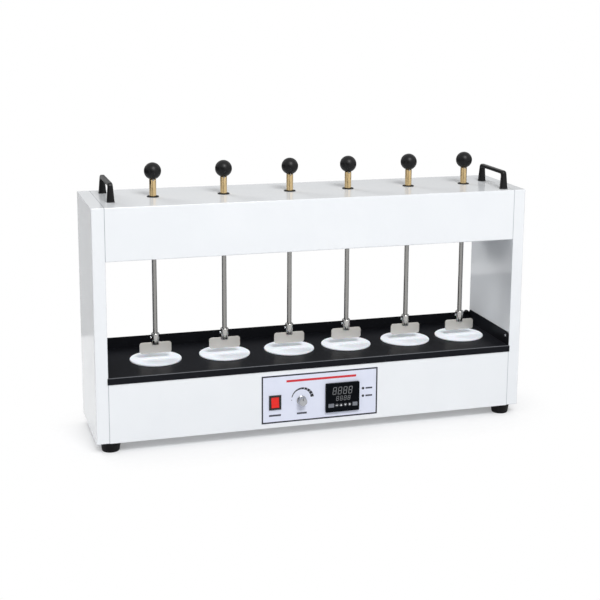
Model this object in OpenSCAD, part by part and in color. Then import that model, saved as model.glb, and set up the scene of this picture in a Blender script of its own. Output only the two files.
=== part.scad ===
// Six-place jar tester: a sheet-steel bench case whose head turns six stirrers over a shelf
// of jar places. The origin is on the bench under the middle of the case, +Z is up, the
// control panel faces -Y and every stirrer is vertical.

$fn = 64;

/* [Case] */
// Overall width of the case
case_w = 900; // [880:5:1000]
// Depth of the case, front to back
case_d = 208; // [196:2:236]
// Height of the case above its feet
case_h = 468; // [464:2:520]
// Thickness of the sheet steel
sheet = 1.2; // [1:0.1:1.5]
// Width of each end pillar
pillar_w = 25; // [21:1:28]
// Height of the head
head_h = 105; // [103:1:125]
// Height of the base's front and rear panels
panel_h = 131.8; // [128:0.2:140]
// Depth of the flanges folded in along the panels' edges
flange = 12; // [9:0.5:15]

/* [Feet] */
// Height of a rubber foot
foot_h = 21; // [14:1:30]
// Diameter of a foot where it meets the case
foot_top_d = 42; // [36:1:44]
// Diameter of a foot on the bench
foot_base_d = 35; // [28:1:36]
// How far the feet stand in from the case's ends
foot_inset_x = 30; // [29:0.5:34]
// How far the feet stand in from the front and the back
foot_inset_y = 23; // [22:1:36]

/* [Shelf] */
// Depth of the lip that hangs over the front panel
lip_h = 13.4; // [8:0.2:20]
// How far each end of the lip laps over the pillar
lip_lap = 1.5; // [0.5:0.1:3]
// Height of the upturned ends
shelf_end_h = 28; // [24:1:36]
// Height of the upturned rear edge
shelf_rear_h = 23; // [18:0.5:26]
// Diameter of a jar disc
disc_d = 105; // [90:1:112]
// Thickness of a jar disc
disc_t = 3; // [3:0.5:8]

/* [Stirrers] */
// Place of the first stirrer along the case
station_1_x = -313.5; // [-318:0.5:-308]
// Even pitch of the stirrers
station_pitch = 133.5; // [128:0.5:135]
// Diameter of the steel stirrer rod
rod_d = 9.5; // [8:0.1:10]
// Outside diameter of the brass drive tube
drive_tube_d = 13.6; // [12.6:0.1:14]
// How far the drive tubes stand above the case
drive_tube_rise = 36; // [20:1:50]
// Diameter of the ball knob on a rod
ball_d = 34; // [26:0.5:36]
// Diameter of the hub that holds a blade
hub_d = 17; // [15:0.5:20]
// Height of the hub
hub_h = 24.6; // [20:0.2:34]
// Length of a blade
blade_w = 64; // [50:1:76]
// Height of a blade
blade_h = 21.6; // [18:0.2:32]
// Thickness of a blade
blade_t = 2; // [1.5:0.1:2.5]
// Height of a blade's lower edge above the jar discs
blade_clear = 10.8; // [4:0.2:14]
// Turn of the blades about their rods at rest
blade_turn = 0; // [0:1:30]

/* [Drive] */
// Width of the bearing rail
rail_w = 60; // [56:1:70]
// Height of the bearing rail above the deck
rail_h = 58; // [54:0.5:60]
// Wall of the bearing rail
rail_t = 2; // [1.5:0.1:2.5]
// Thickness of the drive deck
deck_t = 1.5; // [1.2:0.1:2]
// Outside diameter of a pulley
pulley_d = 50; // [46:1:56]
// Width of the flat drive belts
belt_w = 5; // [4:0.1:6]
// Thickness of the drive belts
belt_t = 2; // [1.5:0.1:2.5]
// Outside diameter of the motor pulley
motor_pulley_d = 34; // [30:1:40]
// Distance from the motor shaft to the first stirrer
motor_gap = 61.5; // [58:0.5:64]
// Side of the square gearbox
gearbox_w = 50; // [40:1:51]
// Height of the gearbox
gearbox_h = 20; // [14:1:24]
// Diameter of the motor can
motor_can_d = 46; // [36:1:50]

/* [Handles] */
// Distance between the legs of a carrying handle
handle_span = 122; // [96:1:128]
// Height of a handle
handle_h = 38; // [34:1:50]
// Width of a leg at its foot, along the case
handle_leg_w = 16; // [14:0.5:18]
// Depth of a leg at its foot, front to back
handle_leg_d = 12; // [11:0.5:16]
// Thickness of the hand bar
handle_bar_t = 8; // [6:0.5:10]

/* [Control panel] */
// Width of the control label
label_w = 248; // [240:1:280]
// Height of the control label
label_h = 101; // [92:1:106]
// Width of the switch bezel
switch_w = 25.4; // [24.6:0.1:28]
// Height of the switch bezel
switch_h = 30.3; // [30:0.1:34]
// Tilt of the rocker to either side
rocker_tilt = 8; // [4:0.5:9]
// Diameter of the speed knob
knob_d = 18; // [17.6:0.2:24]
// How far the speed knob stands out
knob_reach = 13.5; // [11:0.5:13.5]
// Width of the meter bezel
meter_w = 72; // [70:1:76]
// Height of the meter bezel
meter_h = 61; // [58:1:64]
// Depth of the meter behind the panel
meter_depth = 64; // [40:1:80]
// Diameter of a meter key
key_d = 7.6; // [6:0.1:8.2]
// Travel of a meter key
key_travel = 0.8; // [0.3:0.1:0.9]

/* [Hidden] */

// Clearances, each for one kind of joint between pieces
seam = 0.3; // open seam between neighbouring covers
fit = 0.15; // sheet parts that slide into each other
running = 0.05; // a shaft turning in its hole
sliding = 0.1; // a rod sliding in its tube
grip = 0.02; // pieces held on a shaft
hole_play = 0.1; // a screw in its hole, on the radius
belt_play = 0.3; // a belt in its groove
eps = 1; // how far a cut runs past the face that it opens

// Main levels and planes
half_w = case_w / 2;
half_d = case_d / 2;
inner_x = half_w - pillar_w;
bend = sheet + 0.8;
z_case = foot_h;
z_top = foot_h + case_h;
z_head = z_top - head_h;
z_shelf = foot_h + panel_h;
z_tray = z_shelf + sheet;
z_disc = z_tray + disc_t;
z_deck = z_head + sheet + deck_t;
z_rail = z_deck + rail_h;
panel_y = -half_d;
inside_y = half_d - sheet;

// Each stirrer stands a little off the even pitch
STATION_NUDGE = [0, 10, 15, 7, 7.5, 0];
function station_x(i) = station_1_x + i * station_pitch + STATION_NUDGE[i];
stations = len(STATION_NUDGE);

// Bearings, spindles and pulleys
bearing_d = 30;
barrel_d = 20;
lower_bearing_h = 12;
upper_bearing_h = 8;
collar_d = 17;
collar_h = 4;
collar_gap = 0.15;
z_tube = z_top + drive_tube_rise;
groove_pitch = 8;
pulley_gap = 0.5;
z_pulley = z_rail + upper_bearing_h + pulley_gap;
pulley_h = 2 * groove_pitch;
groove_depth = belt_t + belt_play + 1.2;
belt_inner_r = pulley_d / 2 - groove_depth + belt_play;
motor_belt_inner_r = motor_pulley_d / 2 - groove_depth + belt_play;
motor_x = station_x(0) - motor_gap;
motor_shaft_d = 8;
motor_boss_d = 22;
rail_past_motor = 35;
rail_past_bush = 24;
rail_left = motor_x - rail_past_motor;
rail_right = station_x(stations - 1) + rail_past_bush;
sensor_gap = 2;

// Stirrer rod and its drive pin
pin_d = 2.5;
notch_w = pin_d + 0.5;
notch_h = 3.5;
z_pin = z_tube - notch_h + 0.45 + pin_d / 2;
z_blade = z_disc + blade_clear;
blade_grip = 4;
hub_sleeve_d = 15;
hub_sleeve_h = 10.5;
blade_corner = 4.5;
set_screw_rise = 10;
tube_chamfer = 1.2;
z_hub = z_blade + blade_h - blade_grip;
z_rod = z_blade + blade_h + 1.2;
ball_seat_d = 14.4;
ball_flat = sqrt(pow(ball_d / 2, 2) - pow(ball_seat_d / 2, 2));
ball_gap = 0.1;
z_ball = z_tube + ball_gap + ball_flat;
rod_in_ball = 18;
set_screw_d = 5;

// Handles
handle_taper = 3;
handle_lean = 2;
handle_left_y = 12.5;
handle_right_y = -28;
handle_left_inset = 21.5;
handle_right_inset = 16;
handle_left_x = -inner_x + handle_left_inset;
handle_right_x = inner_x - handle_right_inset;
handle_bore_h = 16;
handle_screw_d = 5;
handle_screw_reach = 14;

// Shelf fasteners
end_screw_d = 4;
end_screw_inset = 15;
end_screw_y = -half_d + end_screw_inset;
end_screw_rise = 18;
end_screw_z = z_tray + end_screw_rise;
rear_screw_d = 5;
rear_screw_inset = 9;
rear_screw_x = inner_x - rear_screw_inset;
rear_screw_drop = 2;
rear_screw_z = z_tray + shelf_rear_h - rear_screw_drop;
dome_d = 12;
tab_w = 11;
shelf_rear_y = inside_y - sheet;

// Control panel layout, heights above the case's underside
label_t = 0.5;
label_x = 5;
label_rise = 60;
label_z = z_case + label_rise;
face_y = panel_y - label_t;
switch_x = -90.7;
controls_rise = 53.6;
controls_z = z_case + controls_rise;
bezel_t = 2;
bezel_lap_x = 1.8;
bezel_lap_z = 1;
switch_body_w = switch_w - 2 * bezel_lap_x;
switch_body_h = switch_h - 2 * bezel_lap_z;
switch_wall = 2.6;
switch_depth = 24;
rocker_w = 15.8;
rocker_r = (switch_body_h - 2 * switch_wall) / 2 - seam;
rocker_inset = 1;
rocker_y = face_y + rocker_inset;
axle_d = 3;
knob_x = -35;
pot_bush_d = 9.4;
pot_shaft_d = 6;
pot_d = 24;
pot_depth = 10;
knob_skirt_d = knob_d + 2;
meter_x = 52;
meter_proud = 5;
meter_plate = 2.5;
meter_lap_x = 2;
meter_lap_z = 2.5;
meter_body_w = meter_w - 2 * meter_lap_x;
meter_body_h = meter_h - 2 * meter_lap_z;
meter_wall = 2;
window_w = 58;
window_h = 37;
window_rise = 8.5;
window_z = controls_z + window_rise;
window_t = 1.5;
key_pitch = 9.2;
key_shift = 1;
key_x = meter_x + key_shift;
key_drop = 16;
key_z = controls_z - key_drop;
key_proud = 1;
key_flange = 1;
board_t = 1.6;

// Things inside the base
supply_size = [110, 60, 35];
supply_inset = 195;
supply_x = inner_x - supply_inset;
supply_slot_w = 6;
supply_slot_pitch = 12;
supply_slot_edge = 8;
driver_size = [120, 80, 1.6];
driver_inset = 215;
driver_x = -inner_x + driver_inset;
standoff_h = 6;
standoff_d = 7;
standoff_edge = 5;
capacitor_d = 14;
capacitor_h = 22;
capacitor_pitch = 20;
transformer_size = [32, 60, 25];
terminal_size = [60, 10, 12];
gland_inset = 95;
gland_x = inner_x - gland_inset;
gland_rise = 40;
gland_z = z_case + gland_rise;
gland_bore = 7;
gland_reach = 14;

white = "#eef2f6";
black = "#1c1b20";
steel = "#b9bcc0";
brass = "#d9be8b";

// ---- Shapes used by several pieces

// Block between two corners
module box(lo, hi) {
    translate(lo) cube(hi - lo);
}

// Outline in X and Z, drawn out along Y
module along_y(y0, y1) {
    translate([0, y1, 0]) rotate([90, 0, 0]) linear_extrude(y1 - y0) children();
}

// Outline in Y and Z, drawn out along X
module along_x(x0, x1) {
    translate([x0, 0, 0]) rotate([90, 0, 90]) linear_extrude(x1 - x0) children();
}

// Rectangle between two corners with rounded corners
module round_rect(lo, hi, r) {
    translate([lo.x + r, lo.y]) square([hi.x - lo.x - 2 * r, hi.y - lo.y]);
    translate([lo.x, lo.y + r]) square([hi.x - lo.x, hi.y - lo.y - 2 * r]);
    for (x = [lo.x + r, hi.x - r], y = [lo.y + r, hi.y - r])
        translate([x, y]) circle(r);
}

// Radius of a bend at a given depth below the outer skin
function bend_at(inset) = max(bend - inset, 0.2);

// Round bar between two heights, with a hole when bore_d is given
module turned(d, z0, z1, bore_d = 0) {
    difference() {
        translate([0, 0, z0]) cylinder(d = d, h = z1 - z0);
        if (bore_d > 0) translate([0, 0, z0 - eps]) cylinder(d = bore_d, h = z1 - z0 + 2 * eps);
    }
}

// Round bar along Y, from the front to the back
module rod_y(x, z, d, y0, y1) {
    translate([x, y0, z]) rotate([-90, 0, 0]) cylinder(d = d, h = y1 - y0);
}

module on_stations() {
    for (i = [0 : stations - 1]) translate([station_x(i), 0, 0]) children();
}

// ---- Case

// Side view of the whole case, drawn in from its skin
module case_outline(inset) {
    round_rect(
        [-half_d + inset, z_case + inset],
        [half_d - inset, z_top - inset],
        bend_at(inset)
    );
}

// Plan view of the right pillar, drawn in from its skin, open toward the middle
module pillar_plan(inset) {
    intersection() {
        round_rect(
            [inner_x - 2 * pillar_w, -half_d + inset],
            [half_w - inset, half_d - inset],
            bend_at(inset)
        );
        translate([inner_x, -half_d]) square([pillar_w, case_d]);
    }
}

// The pillar's outer block at a given inset
module pillar_block(inset) {
    intersection() {
        along_x(inner_x, half_w) case_outline(inset);
        linear_extrude(z_top + eps) pillar_plan(inset);
    }
}

// Pan that closes the end of the case
module pillar() {
    difference() {
        pillar_block(0);
        pillar_block(sheet);
    }
}

// Shallow pan that closes the pillar's open side
module liner() {
    inset = sheet + fit;
    depth = pillar_w / 2;
    difference() {
        along_x(inner_x, inner_x + depth) case_outline(inset);
        along_x(inner_x + sheet, inner_x + depth + eps) case_outline(inset + sheet);
        end_screw_hole(inner_x - eps, inner_x + sheet + eps);
    }
}

module end_screw_hole(x0, x1) {
    translate([x0, end_screw_y, end_screw_z]) rotate([0, 90, 0])
        cylinder(d = end_screw_d + 2 * hole_play, h = x1 - x0);
}

module left_pillar() {
    color(white) mirror([1, 0, 0]) pillar();
}

module right_pillar() {
    color(white) pillar();
}

module left_liner() {
    color(white) mirror([1, 0, 0]) liner();
}

module right_liner() {
    color(white) liner();
}

grommet_neck_d = 18;
grommet_flange_d = 24;
grommet_flange_t = 1.5;

module head_cover() {
    half_len = inner_x - seam;
    color(white) difference() {
        along_x(-half_len, half_len) difference() {
            round_rect([-half_d, z_head], [half_d, z_top], bend);
            round_rect(
                [-inside_y, z_head + sheet],
                [inside_y, z_top - sheet],
                bend_at(sheet)
            );
            translate([-inside_y + flange, z_head - eps]) square([2 * (inside_y - flange), 2 * sheet + eps]);
        }
        on_stations() turned(grommet_neck_d + 2 * hole_play, z_top - 2 * sheet, z_top + eps);
        handle_legs() turned(handle_screw_d + 2 * hole_play, z_top - 2 * sheet, z_top + eps);
    }
}

module drive_deck() {
    half_len = inner_x - seam;
    edge = half_d - bend;
    color(steel) difference() {
        box([-half_len, -edge, z_head + sheet], [half_len, edge, z_deck]);
        on_stations() turned(barrel_d + 2 * hole_play, z_head, z_deck + eps);
    }
}

// Folded rail that carries the upper bearings and the motor
module bearing_rail() {
    color(steel) difference() {
        box([rail_left, -rail_w / 2, z_deck], [rail_right, rail_w / 2, z_rail]);
        box(
            [rail_left - eps, -rail_w / 2 + rail_t, z_deck - eps],
            [rail_right + eps, rail_w / 2 - rail_t, z_rail - rail_t]
        );
        on_stations() turned(barrel_d + 2 * hole_play, z_rail - 2 * rail_t, z_rail + eps);
        translate([motor_x, 0, 0])
            turned(motor_boss_d + 2 * hole_play, z_rail - 2 * rail_t, z_rail + eps);
    }
}

// Wall with its top edge folded in, seen from the side; the wall's skin is at y = -half_d
module panel_outline() {
    past = 2 * flange;
    difference() {
        round_rect([-half_d, z_case - past], [-half_d + past, z_shelf], bend);
        round_rect(
            [-half_d + sheet, z_case - past - eps],
            [-half_d + past + eps, z_shelf - sheet],
            bend_at(sheet)
        );
        translate([-half_d - eps, z_case - past - eps]) square([past + 2 * eps, past + eps]);
        translate([-half_d + flange, z_case - eps]) square([past, panel_h + 2 * eps]);
    }
}

// Holes for the switch, the speed control and the meter, the same in panel and label
module control_cutouts(y0, y1) {
    half_switch = [switch_body_w / 2 + fit, switch_body_h / 2 + fit];
    half_meter = [meter_body_w / 2 + fit, meter_body_h / 2 + fit];
    box(
        [switch_x - half_switch.x, y0, controls_z - half_switch.y],
        [switch_x + half_switch.x, y1, controls_z + half_switch.y]
    );
    rod_y(knob_x, controls_z, pot_bush_d + 2 * hole_play, y0, y1);
    box(
        [meter_x - half_meter.x, y0, controls_z - half_meter.y],
        [meter_x + half_meter.x, y1, controls_z + half_meter.y]
    );
}

module base_front_panel() {
    color(white) difference() {
        along_x(-inner_x + seam, inner_x - seam) panel_outline();
        control_cutouts(panel_y - eps, panel_y + sheet + eps);
    }
}

vent_rows = 5;
vent_rise = 60;
vent_w = 60;
vent_h = 3;
vent_pitch = 8;

module base_rear_panel() {
    tab_y0 = inside_y;
    hole_d = rear_screw_d + 2 * hole_play;
    color(white) difference() {
        union() {
            mirror([0, 1, 0]) along_x(-inner_x + seam, inner_x - seam) panel_outline();
            for (side = [-1, 1]) {
                x = side * rear_screw_x;
                box([x - tab_w / 2, tab_y0, z_shelf - bend], [x + tab_w / 2, half_d, rear_screw_z]);
                rod_y(x, rear_screw_z, tab_w, tab_y0, half_d);
            }
        }
        for (side = [-1, 1])
            rod_y(side * rear_screw_x, rear_screw_z, hole_d, tab_y0 - eps, half_d + eps);
        for (x = [supply_x, driver_x], row = [0 : vent_rows - 1])
            translate([x - vent_w / 2, inside_y - eps, z_case + vent_rise + row * vent_pitch])
                cube([vent_w, sheet + 2 * eps, vent_h]);
        rod_y(gland_x, gland_z, gland_thread_d + 2 * hole_play, inside_y - eps, half_d + eps);
    }
}

floor_flange = 15;

module base_floor() {
    half_len = inner_x - seam;
    edge = inside_y - fit;
    color(white) difference() {
        box([-half_len, -edge, z_case], [half_len, edge, z_case + floor_flange]);
        box(
            [-half_len - eps, -edge + sheet, z_case + sheet],
            [half_len + eps, edge - sheet, z_case + floor_flange + eps]
        );
        on_feet() turned(foot_screw_d + 2 * hole_play, z_case - eps, z_case + sheet + eps);
    }
}

// ---- Shelf

// Side view of the bent sheet that makes lip and plate, from the front to a given plane
module shelf_sheet(back_y) {
    lip_y = -half_d - sheet;
    past = 3 * bend;
    z_low = z_tray - lip_h;
    difference() {
        round_rect([lip_y, z_low - past], [back_y + past, z_tray], bend);
        round_rect([-half_d, z_low - 2 * past], [back_y + 2 * past, z_shelf], bend_at(sheet));
        translate([lip_y - eps, z_low - past - eps]) square([bend + 2 * sheet, past + eps]);
        translate([back_y, z_low - past]) square([2 * past, lip_h + 2 * past]);
    }
}

module tray() {
    half_len = inner_x - seam;
    lap_end = inner_x + lip_lap;
    slot_w = rear_screw_d + 2 * hole_play;
    color(black) difference() {
        union() {
            // plate with its rear edge turned up
            along_x(-half_len, half_len) {
                shelf_sheet(shelf_rear_y);
                translate([shelf_rear_y, z_shelf]) square([sheet, sheet + shelf_rear_h]);
            }
            // the lip alone runs on past the plate's ends
            along_x(-lap_end, lap_end) shelf_sheet(-half_d);
            for (side = [-1, 1])
                along_x(side * (inner_x - seam - sheet / 2) - sheet / 2,
                        side * (inner_x - seam - sheet / 2) + sheet / 2)
                    shelf_end_outline();
        }
        for (side = [-1, 1]) {
            x = side * rear_screw_x;
            translate([x - slot_w / 2, shelf_rear_y - eps, rear_screw_z - slot_w / 2])
                cube([slot_w, sheet + 2 * eps, shelf_rear_h]);
        }
        for (side = [0, 1]) mirror([side, 0, 0])
            end_screw_hole(inner_x - 3 * sheet, inner_x + eps);
    }
}

shelf_end_corner = 6;

module shelf_end_outline() {
    difference() {
        round_rect(
            [-half_d + 1, z_shelf - 2 * shelf_end_corner],
            [shelf_rear_y - 0.6, z_tray + shelf_end_h],
            shelf_end_corner
        );
        translate([-half_d, z_shelf - 3 * shelf_end_corner])
            square([case_d, 3 * shelf_end_corner]);
    }
}

module jar_discs() {
    color("#f2f4fa") on_stations() turned(disc_d, z_tray, z_disc);
}

// ---- Feet

foot_screw_d = 5;
foot_sink_d = 14;
foot_sink_h = 8;

module on_feet() {
    for (x = [-half_w + foot_inset_x, half_w - foot_inset_x],
         y = [-half_d + foot_inset_y, half_d - foot_inset_y])
        translate([x, y, 0]) children();
}

module feet() {
    edge = 3;
    color(black) on_feet() difference() {
        rotate_extrude() polygon([
            [0, 0],
            [foot_base_d / 2 - edge, 0],
            [foot_base_d / 2, edge],
            [foot_top_d / 2 - edge, foot_h - 2],
            [foot_top_d / 2, foot_h - 2],
            [foot_top_d / 2, foot_h],
            [0, foot_h]
        ]);
        turned(foot_sink_d, -eps, foot_sink_h);
        turned(foot_screw_d + 2 * hole_play, -eps, foot_h + eps);
    }
}

// ---- Handles

module handle_legs() {
    for (at = [[handle_left_x, handle_left_y], [handle_right_x, handle_right_y]], end = [-1, 1])
        translate([at.x, at.y + end * (handle_span - handle_leg_d) / 2, 0]) children();
}

// Bridge handle: tapered legs and a hand bar with rounded shoulders
module handle(x, y) {
    top_z = z_top + handle_h;
    out = handle_span / 2;
    shoulder = 7;
    gusset = 5;
    color(black) difference() {
        translate([x, y, 0]) intersection() {
            along_x(-handle_leg_w / 2, handle_leg_w / 2) difference() {
                union() {
                    polygon([
                        [-out, z_top], [out, z_top],
                        [out - handle_lean, top_z - shoulder],
                        [-out + handle_lean, top_z - shoulder]
                    ]);
                    round_rect(
                        [-out + handle_lean, top_z - 3 * shoulder],
                        [out - handle_lean, top_z],
                        shoulder
                    );
                }
                polygon([
                    [-out + handle_leg_d, z_top - eps],
                    [out - handle_leg_d, z_top - eps],
                    [out - handle_leg_d, top_z - handle_bar_t - gusset],
                    [out - handle_leg_d - gusset, top_z - handle_bar_t],
                    [-out + handle_leg_d + gusset, top_z - handle_bar_t],
                    [-out + handle_leg_d, top_z - handle_bar_t - gusset]
                ]);
            }
            along_y(-out - eps, out + eps) polygon([
                [-handle_leg_w / 2, z_top],
                [handle_leg_w / 2, z_top],
                [handle_leg_w / 2 - handle_taper, top_z + eps],
                [-handle_leg_w / 2 + handle_taper, top_z + eps]
            ]);
        }
        handle_legs() turned(handle_screw_d + 2 * grip, z_top - eps, z_top + handle_bore_h);
    }
}

module left_handle() {
    handle(handle_left_x, handle_left_y);
}

module right_handle() {
    handle(handle_right_x, handle_right_y);
}

// ---- Drive

module shaft_grommets() {
    lower_lip_d = grommet_flange_d - 2;
    bore = drive_tube_d + 0.8;
    color(black) on_stations() difference() {
        union() {
            turned(grommet_flange_d, z_top, z_top + grommet_flange_t);
            turned(grommet_neck_d, z_top - sheet - grommet_flange_t, z_top + grommet_flange_t);
            turned(lower_lip_d, z_top - sheet - grommet_flange_t, z_top - sheet);
        }
        turned(bore, z_head, z_top + 2 * grommet_flange_t);
    }
}

// Flanged bush: a housing on the plate and a barrel down through it
module bearing(z_seat, housing_h, plate) {
    difference() {
        union() {
            turned(bearing_d, z_seat, z_seat + housing_h);
            turned(barrel_d, z_seat - plate, z_seat + housing_h);
        }
        turned(drive_tube_d + 2 * running, z_seat - plate - eps, z_seat + housing_h + eps);
    }
}

module bearings() {
    color(steel) on_stations() {
        bearing(z_deck, lower_bearing_h, deck_t);
        bearing(z_rail, upper_bearing_h, rail_t);
    }
}

// Brass drive tube with a collar on the lower bearing and two notches for the drive pin
module spindle(i) {
    z_collar = z_deck + lower_bearing_h + collar_gap;
    color(brass) translate([station_x(i), 0, 0]) difference() {
        union() {
            turned(drive_tube_d, z_head, z_tube - tube_chamfer);
            translate([0, 0, z_tube - tube_chamfer])
                cylinder(d1 = drive_tube_d, d2 = drive_tube_d - 2 * tube_chamfer, h = tube_chamfer);
            turned(collar_d, z_collar, z_collar + collar_h);
        }
        turned(rod_d + 2 * sliding, z_head - eps, z_tube + eps);
        box([-notch_w / 2, -drive_tube_d, z_tube - notch_h],
            [notch_w / 2, drive_tube_d, z_tube + eps]);
    }
}

// Square groove in a pulley of a given diameter, centred at a given height
module groove(d, z) {
    half_h = belt_w / 2 + belt_play;
    difference() {
        turned(d + 2 * eps, z - half_h, z + half_h);
        turned(d - 2 * groove_depth, z - half_h - eps, z + half_h + eps);
    }
}

module pulley(i) {
    color("#3a3d42") translate([station_x(i), 0, 0]) difference() {
        turned(pulley_d, z_pulley, z_pulley + pulley_h, drive_tube_d + 2 * grip);
        groove(pulley_d, z_pulley + groove_pitch / 2);
        groove(pulley_d, z_pulley + 3 * groove_pitch / 2);
    }
}

module gear_motor() {
    z_gearbox = z_rail - rail_t - gearbox_h;
    can_gap = 3;
    color("#8d9299") translate([motor_x, 0, 0]) difference() {
        union() {
            box([-gearbox_w / 2, -gearbox_w / 2, z_gearbox],
                [gearbox_w / 2, gearbox_w / 2, z_rail - rail_t]);
            turned(motor_can_d, z_deck + can_gap, z_gearbox + eps);
            turned(motor_boss_d, z_gearbox, z_rail);
        }
        turned(motor_shaft_d + 2 * running, z_gearbox + 4, z_rail + eps);
    }
}

// The motor's output shaft, and the pulley that is pressed on it
module motor_pulley() {
    hub_gap = 0.3;
    shaft_top = z_pulley + groove_pitch + 5;
    z_gearbox = z_rail - rail_t - gearbox_h;
    translate([motor_x, 0, 0]) {
        color(steel) turned(motor_shaft_d, z_gearbox + 4 + running, shaft_top);
        color("#3a3d42") difference() {
            union() {
                turned(motor_pulley_d, z_pulley, z_pulley + groove_pitch);
                turned(2 * motor_shaft_d, z_rail + hub_gap, z_pulley + groove_pitch);
            }
            turned(motor_shaft_d + 2 * grip, z_rail - eps, z_pulley + groove_pitch + eps);
            groove(motor_pulley_d, z_pulley + groove_pitch / 2);
        }
    }
}

// Outline of a loop round two circles, the second at a distance along X
module loop(distance, r1, r2) {
    contact = acos((r1 - r2) / distance);
    circle(r1);
    translate([distance, 0]) circle(r2);
    polygon([
        [r1 * cos(contact), r1 * sin(contact)],
        [r1 * cos(contact), -r1 * sin(contact)],
        [distance + r2 * cos(contact), -r2 * sin(contact)],
        [distance + r2 * cos(contact), r2 * sin(contact)]
    ]);
}

// Endless flat belt round two pulleys, given by the belt's inner radius on each
module belt(x1, r1, x2, r2, z) {
    translate([x1, 0, z - belt_w / 2]) linear_extrude(belt_w) difference() {
        loop(x2 - x1, r1 + belt_t, r2 + belt_t);
        loop(x2 - x1, r1, r2);
    }
}

module drive_belts() {
    low = z_pulley + groove_pitch / 2;
    high = low + groove_pitch;
    r = belt_inner_r;
    color(black) {
        belt(motor_x, motor_belt_inner_r, station_x(0), r, low);
        for (i = [0 : stations - 2])
            belt(station_x(i), r, station_x(i + 1), r, i % 2 == 0 ? high : low);
    }
}

module speed_sensor() {
    right = motor_x - motor_pulley_d / 2 - sensor_gap;
    color(black) box([right - 13, -6, z_rail], [right, 6, z_pulley + groove_pitch]);
}

// ---- Stirrers

module stirrer(i) {
    z_hub_top = z_hub + hub_h;
    chamfer = 3;
    step = (hub_d - hub_sleeve_d) / 2;
    z_set = z_rod + set_screw_rise;
    rod_top = z_ball - ball_flat + rod_in_ball;
    translate([station_x(i), 0, 0]) {
        color(steel) difference() {
            turned(rod_d, z_rod, rod_top);
            rod_y(0, z_pin, pin_d + 2 * grip, -rod_d, rod_d);
        }
        color(steel) rod_y(0, z_pin, pin_d, -drive_tube_d / 2, drive_tube_d / 2);
        rotate([0, 0, blade_turn]) {
            color(steel) difference() {
                rotate_extrude() polygon([
                    [0, z_hub], [hub_sleeve_d / 2, z_hub],
                    [hub_sleeve_d / 2, z_hub + hub_sleeve_h - step], [hub_d / 2, z_hub + hub_sleeve_h],
                    [hub_d / 2, z_hub_top - chamfer], [rod_d / 2 + 1, z_hub_top],
                    [0, z_hub_top]
                ]);
                turned(rod_d + 2 * grip, z_rod - grip, z_hub_top + eps);
                box([-hub_d, -blade_t / 2 - grip, z_hub - eps],
                    [hub_d, blade_t / 2 + grip, z_blade + blade_h + grip]);
                translate([-hub_d, 0, z_set]) rotate([0, 90, 0])
                    cylinder(d = set_screw_d + 2 * grip, h = hub_d);
            }
            color(steel) translate([-hub_d / 2 - 2, 0, z_set]) rotate([0, 90, 0])
                cylinder(d = set_screw_d, h = hub_d / 2 + 2 - rod_d / 2 - grip);
            color("#b4b2ae") along_y(-blade_t / 2, blade_t / 2)
                round_rect([-blade_w / 2, z_blade], [blade_w / 2, z_blade + blade_h], blade_corner);
        }
    }
}

module ball_knob(i) {
    color(black) translate([station_x(i), 0, z_ball]) difference() {
        sphere(d = ball_d);
        translate([0, 0, -ball_d - ball_flat]) cylinder(d = 2 * ball_d, h = ball_d);
        turned(rod_d + 2 * grip, -ball_d, rod_in_ball - ball_flat + grip);
    }
}

// ---- Control panel

module control_label() {
    color("#d9dbe8") difference() {
        box(
            [label_x - label_w / 2, face_y, label_z - label_h / 2],
            [label_x + label_w / 2, panel_y, label_z + label_h / 2]
        );
        control_cutouts(face_y - eps, panel_y + eps);
    }
}

module switch_frame() {
    opening_w = switch_body_w - 2 * switch_wall;
    opening_h = switch_body_h - 2 * switch_wall;
    back = face_y + switch_depth;
    color(black) translate([switch_x, 0, controls_z]) difference() {
        union() {
            box([-switch_w / 2, face_y - bezel_t, -switch_h / 2], [switch_w / 2, face_y, switch_h / 2]);
            box([-switch_body_w / 2, face_y - bezel_t, -switch_body_h / 2],
                [switch_body_w / 2, back, switch_body_h / 2]);
            for (z = [-8, 0, 8]) box([-3, back - eps, z - 0.4], [3, back + 9, z + 0.4]);
        }
        box([-opening_w / 2, face_y - bezel_t - eps, -opening_h / 2],
            [opening_w / 2, back - 2, opening_h / 2]);
        translate([-opening_w / 2 - 1, rocker_y, 0]) rotate([0, 90, 0])
            cylinder(d = axle_d + 2 * running, h = opening_w + 2);
    }
}

// Rocker drawn level, then tilted to rest on its lower stop
module switch_rocker() {
    front = 2.6;
    slope = 0.7;
    back = 4;
    opening_w = switch_body_w - 2 * switch_wall;
    half = min(rocker_w, opening_w - 2 * seam) / 2;
    color("#e8302a") translate([switch_x, rocker_y, controls_z]) rotate([-rocker_tilt, 0, 0]) {
        along_x(-half, half) intersection() {
            circle(rocker_r);
            polygon([
                [back, -rocker_r - 1], [back, rocker_r + 1],
                [-front - slope, rocker_r + 1], [-front, 0], [-front - slope, -rocker_r - 1]
            ]);
        }
        translate([-opening_w / 2 - 0.8, 0, 0]) rotate([0, 90, 0])
            cylinder(d = axle_d, h = opening_w + 1.6);
    }
}

// Knob with a skirt and a hollow underneath, and the shaft that it turns
module speed_knob() {
    skirt_t = 2.5;
    front = face_y - knob_reach;
    under = face_y - seam;
    hollow_d = 16;
    shaft_front = front + 2;
    translate([knob_x, 0, controls_z]) {
        color(steel) difference() {
            union() {
                rod_y(0, 0, knob_d, front, under);
                rod_y(0, 0, knob_skirt_d, under - skirt_t, under);
            }
            rod_y(0, 0, hollow_d, under - 4, under + eps);
            rod_y(0, 0, pot_shaft_d + 2 * grip, shaft_front - grip, under + eps);
            box([-0.5, front - eps, 0], [0.5, front + 0.6, knob_d]);
        }
        color(steel) rod_y(0, 0, pot_shaft_d, shaft_front, panel_y + 8);
    }
}

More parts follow.
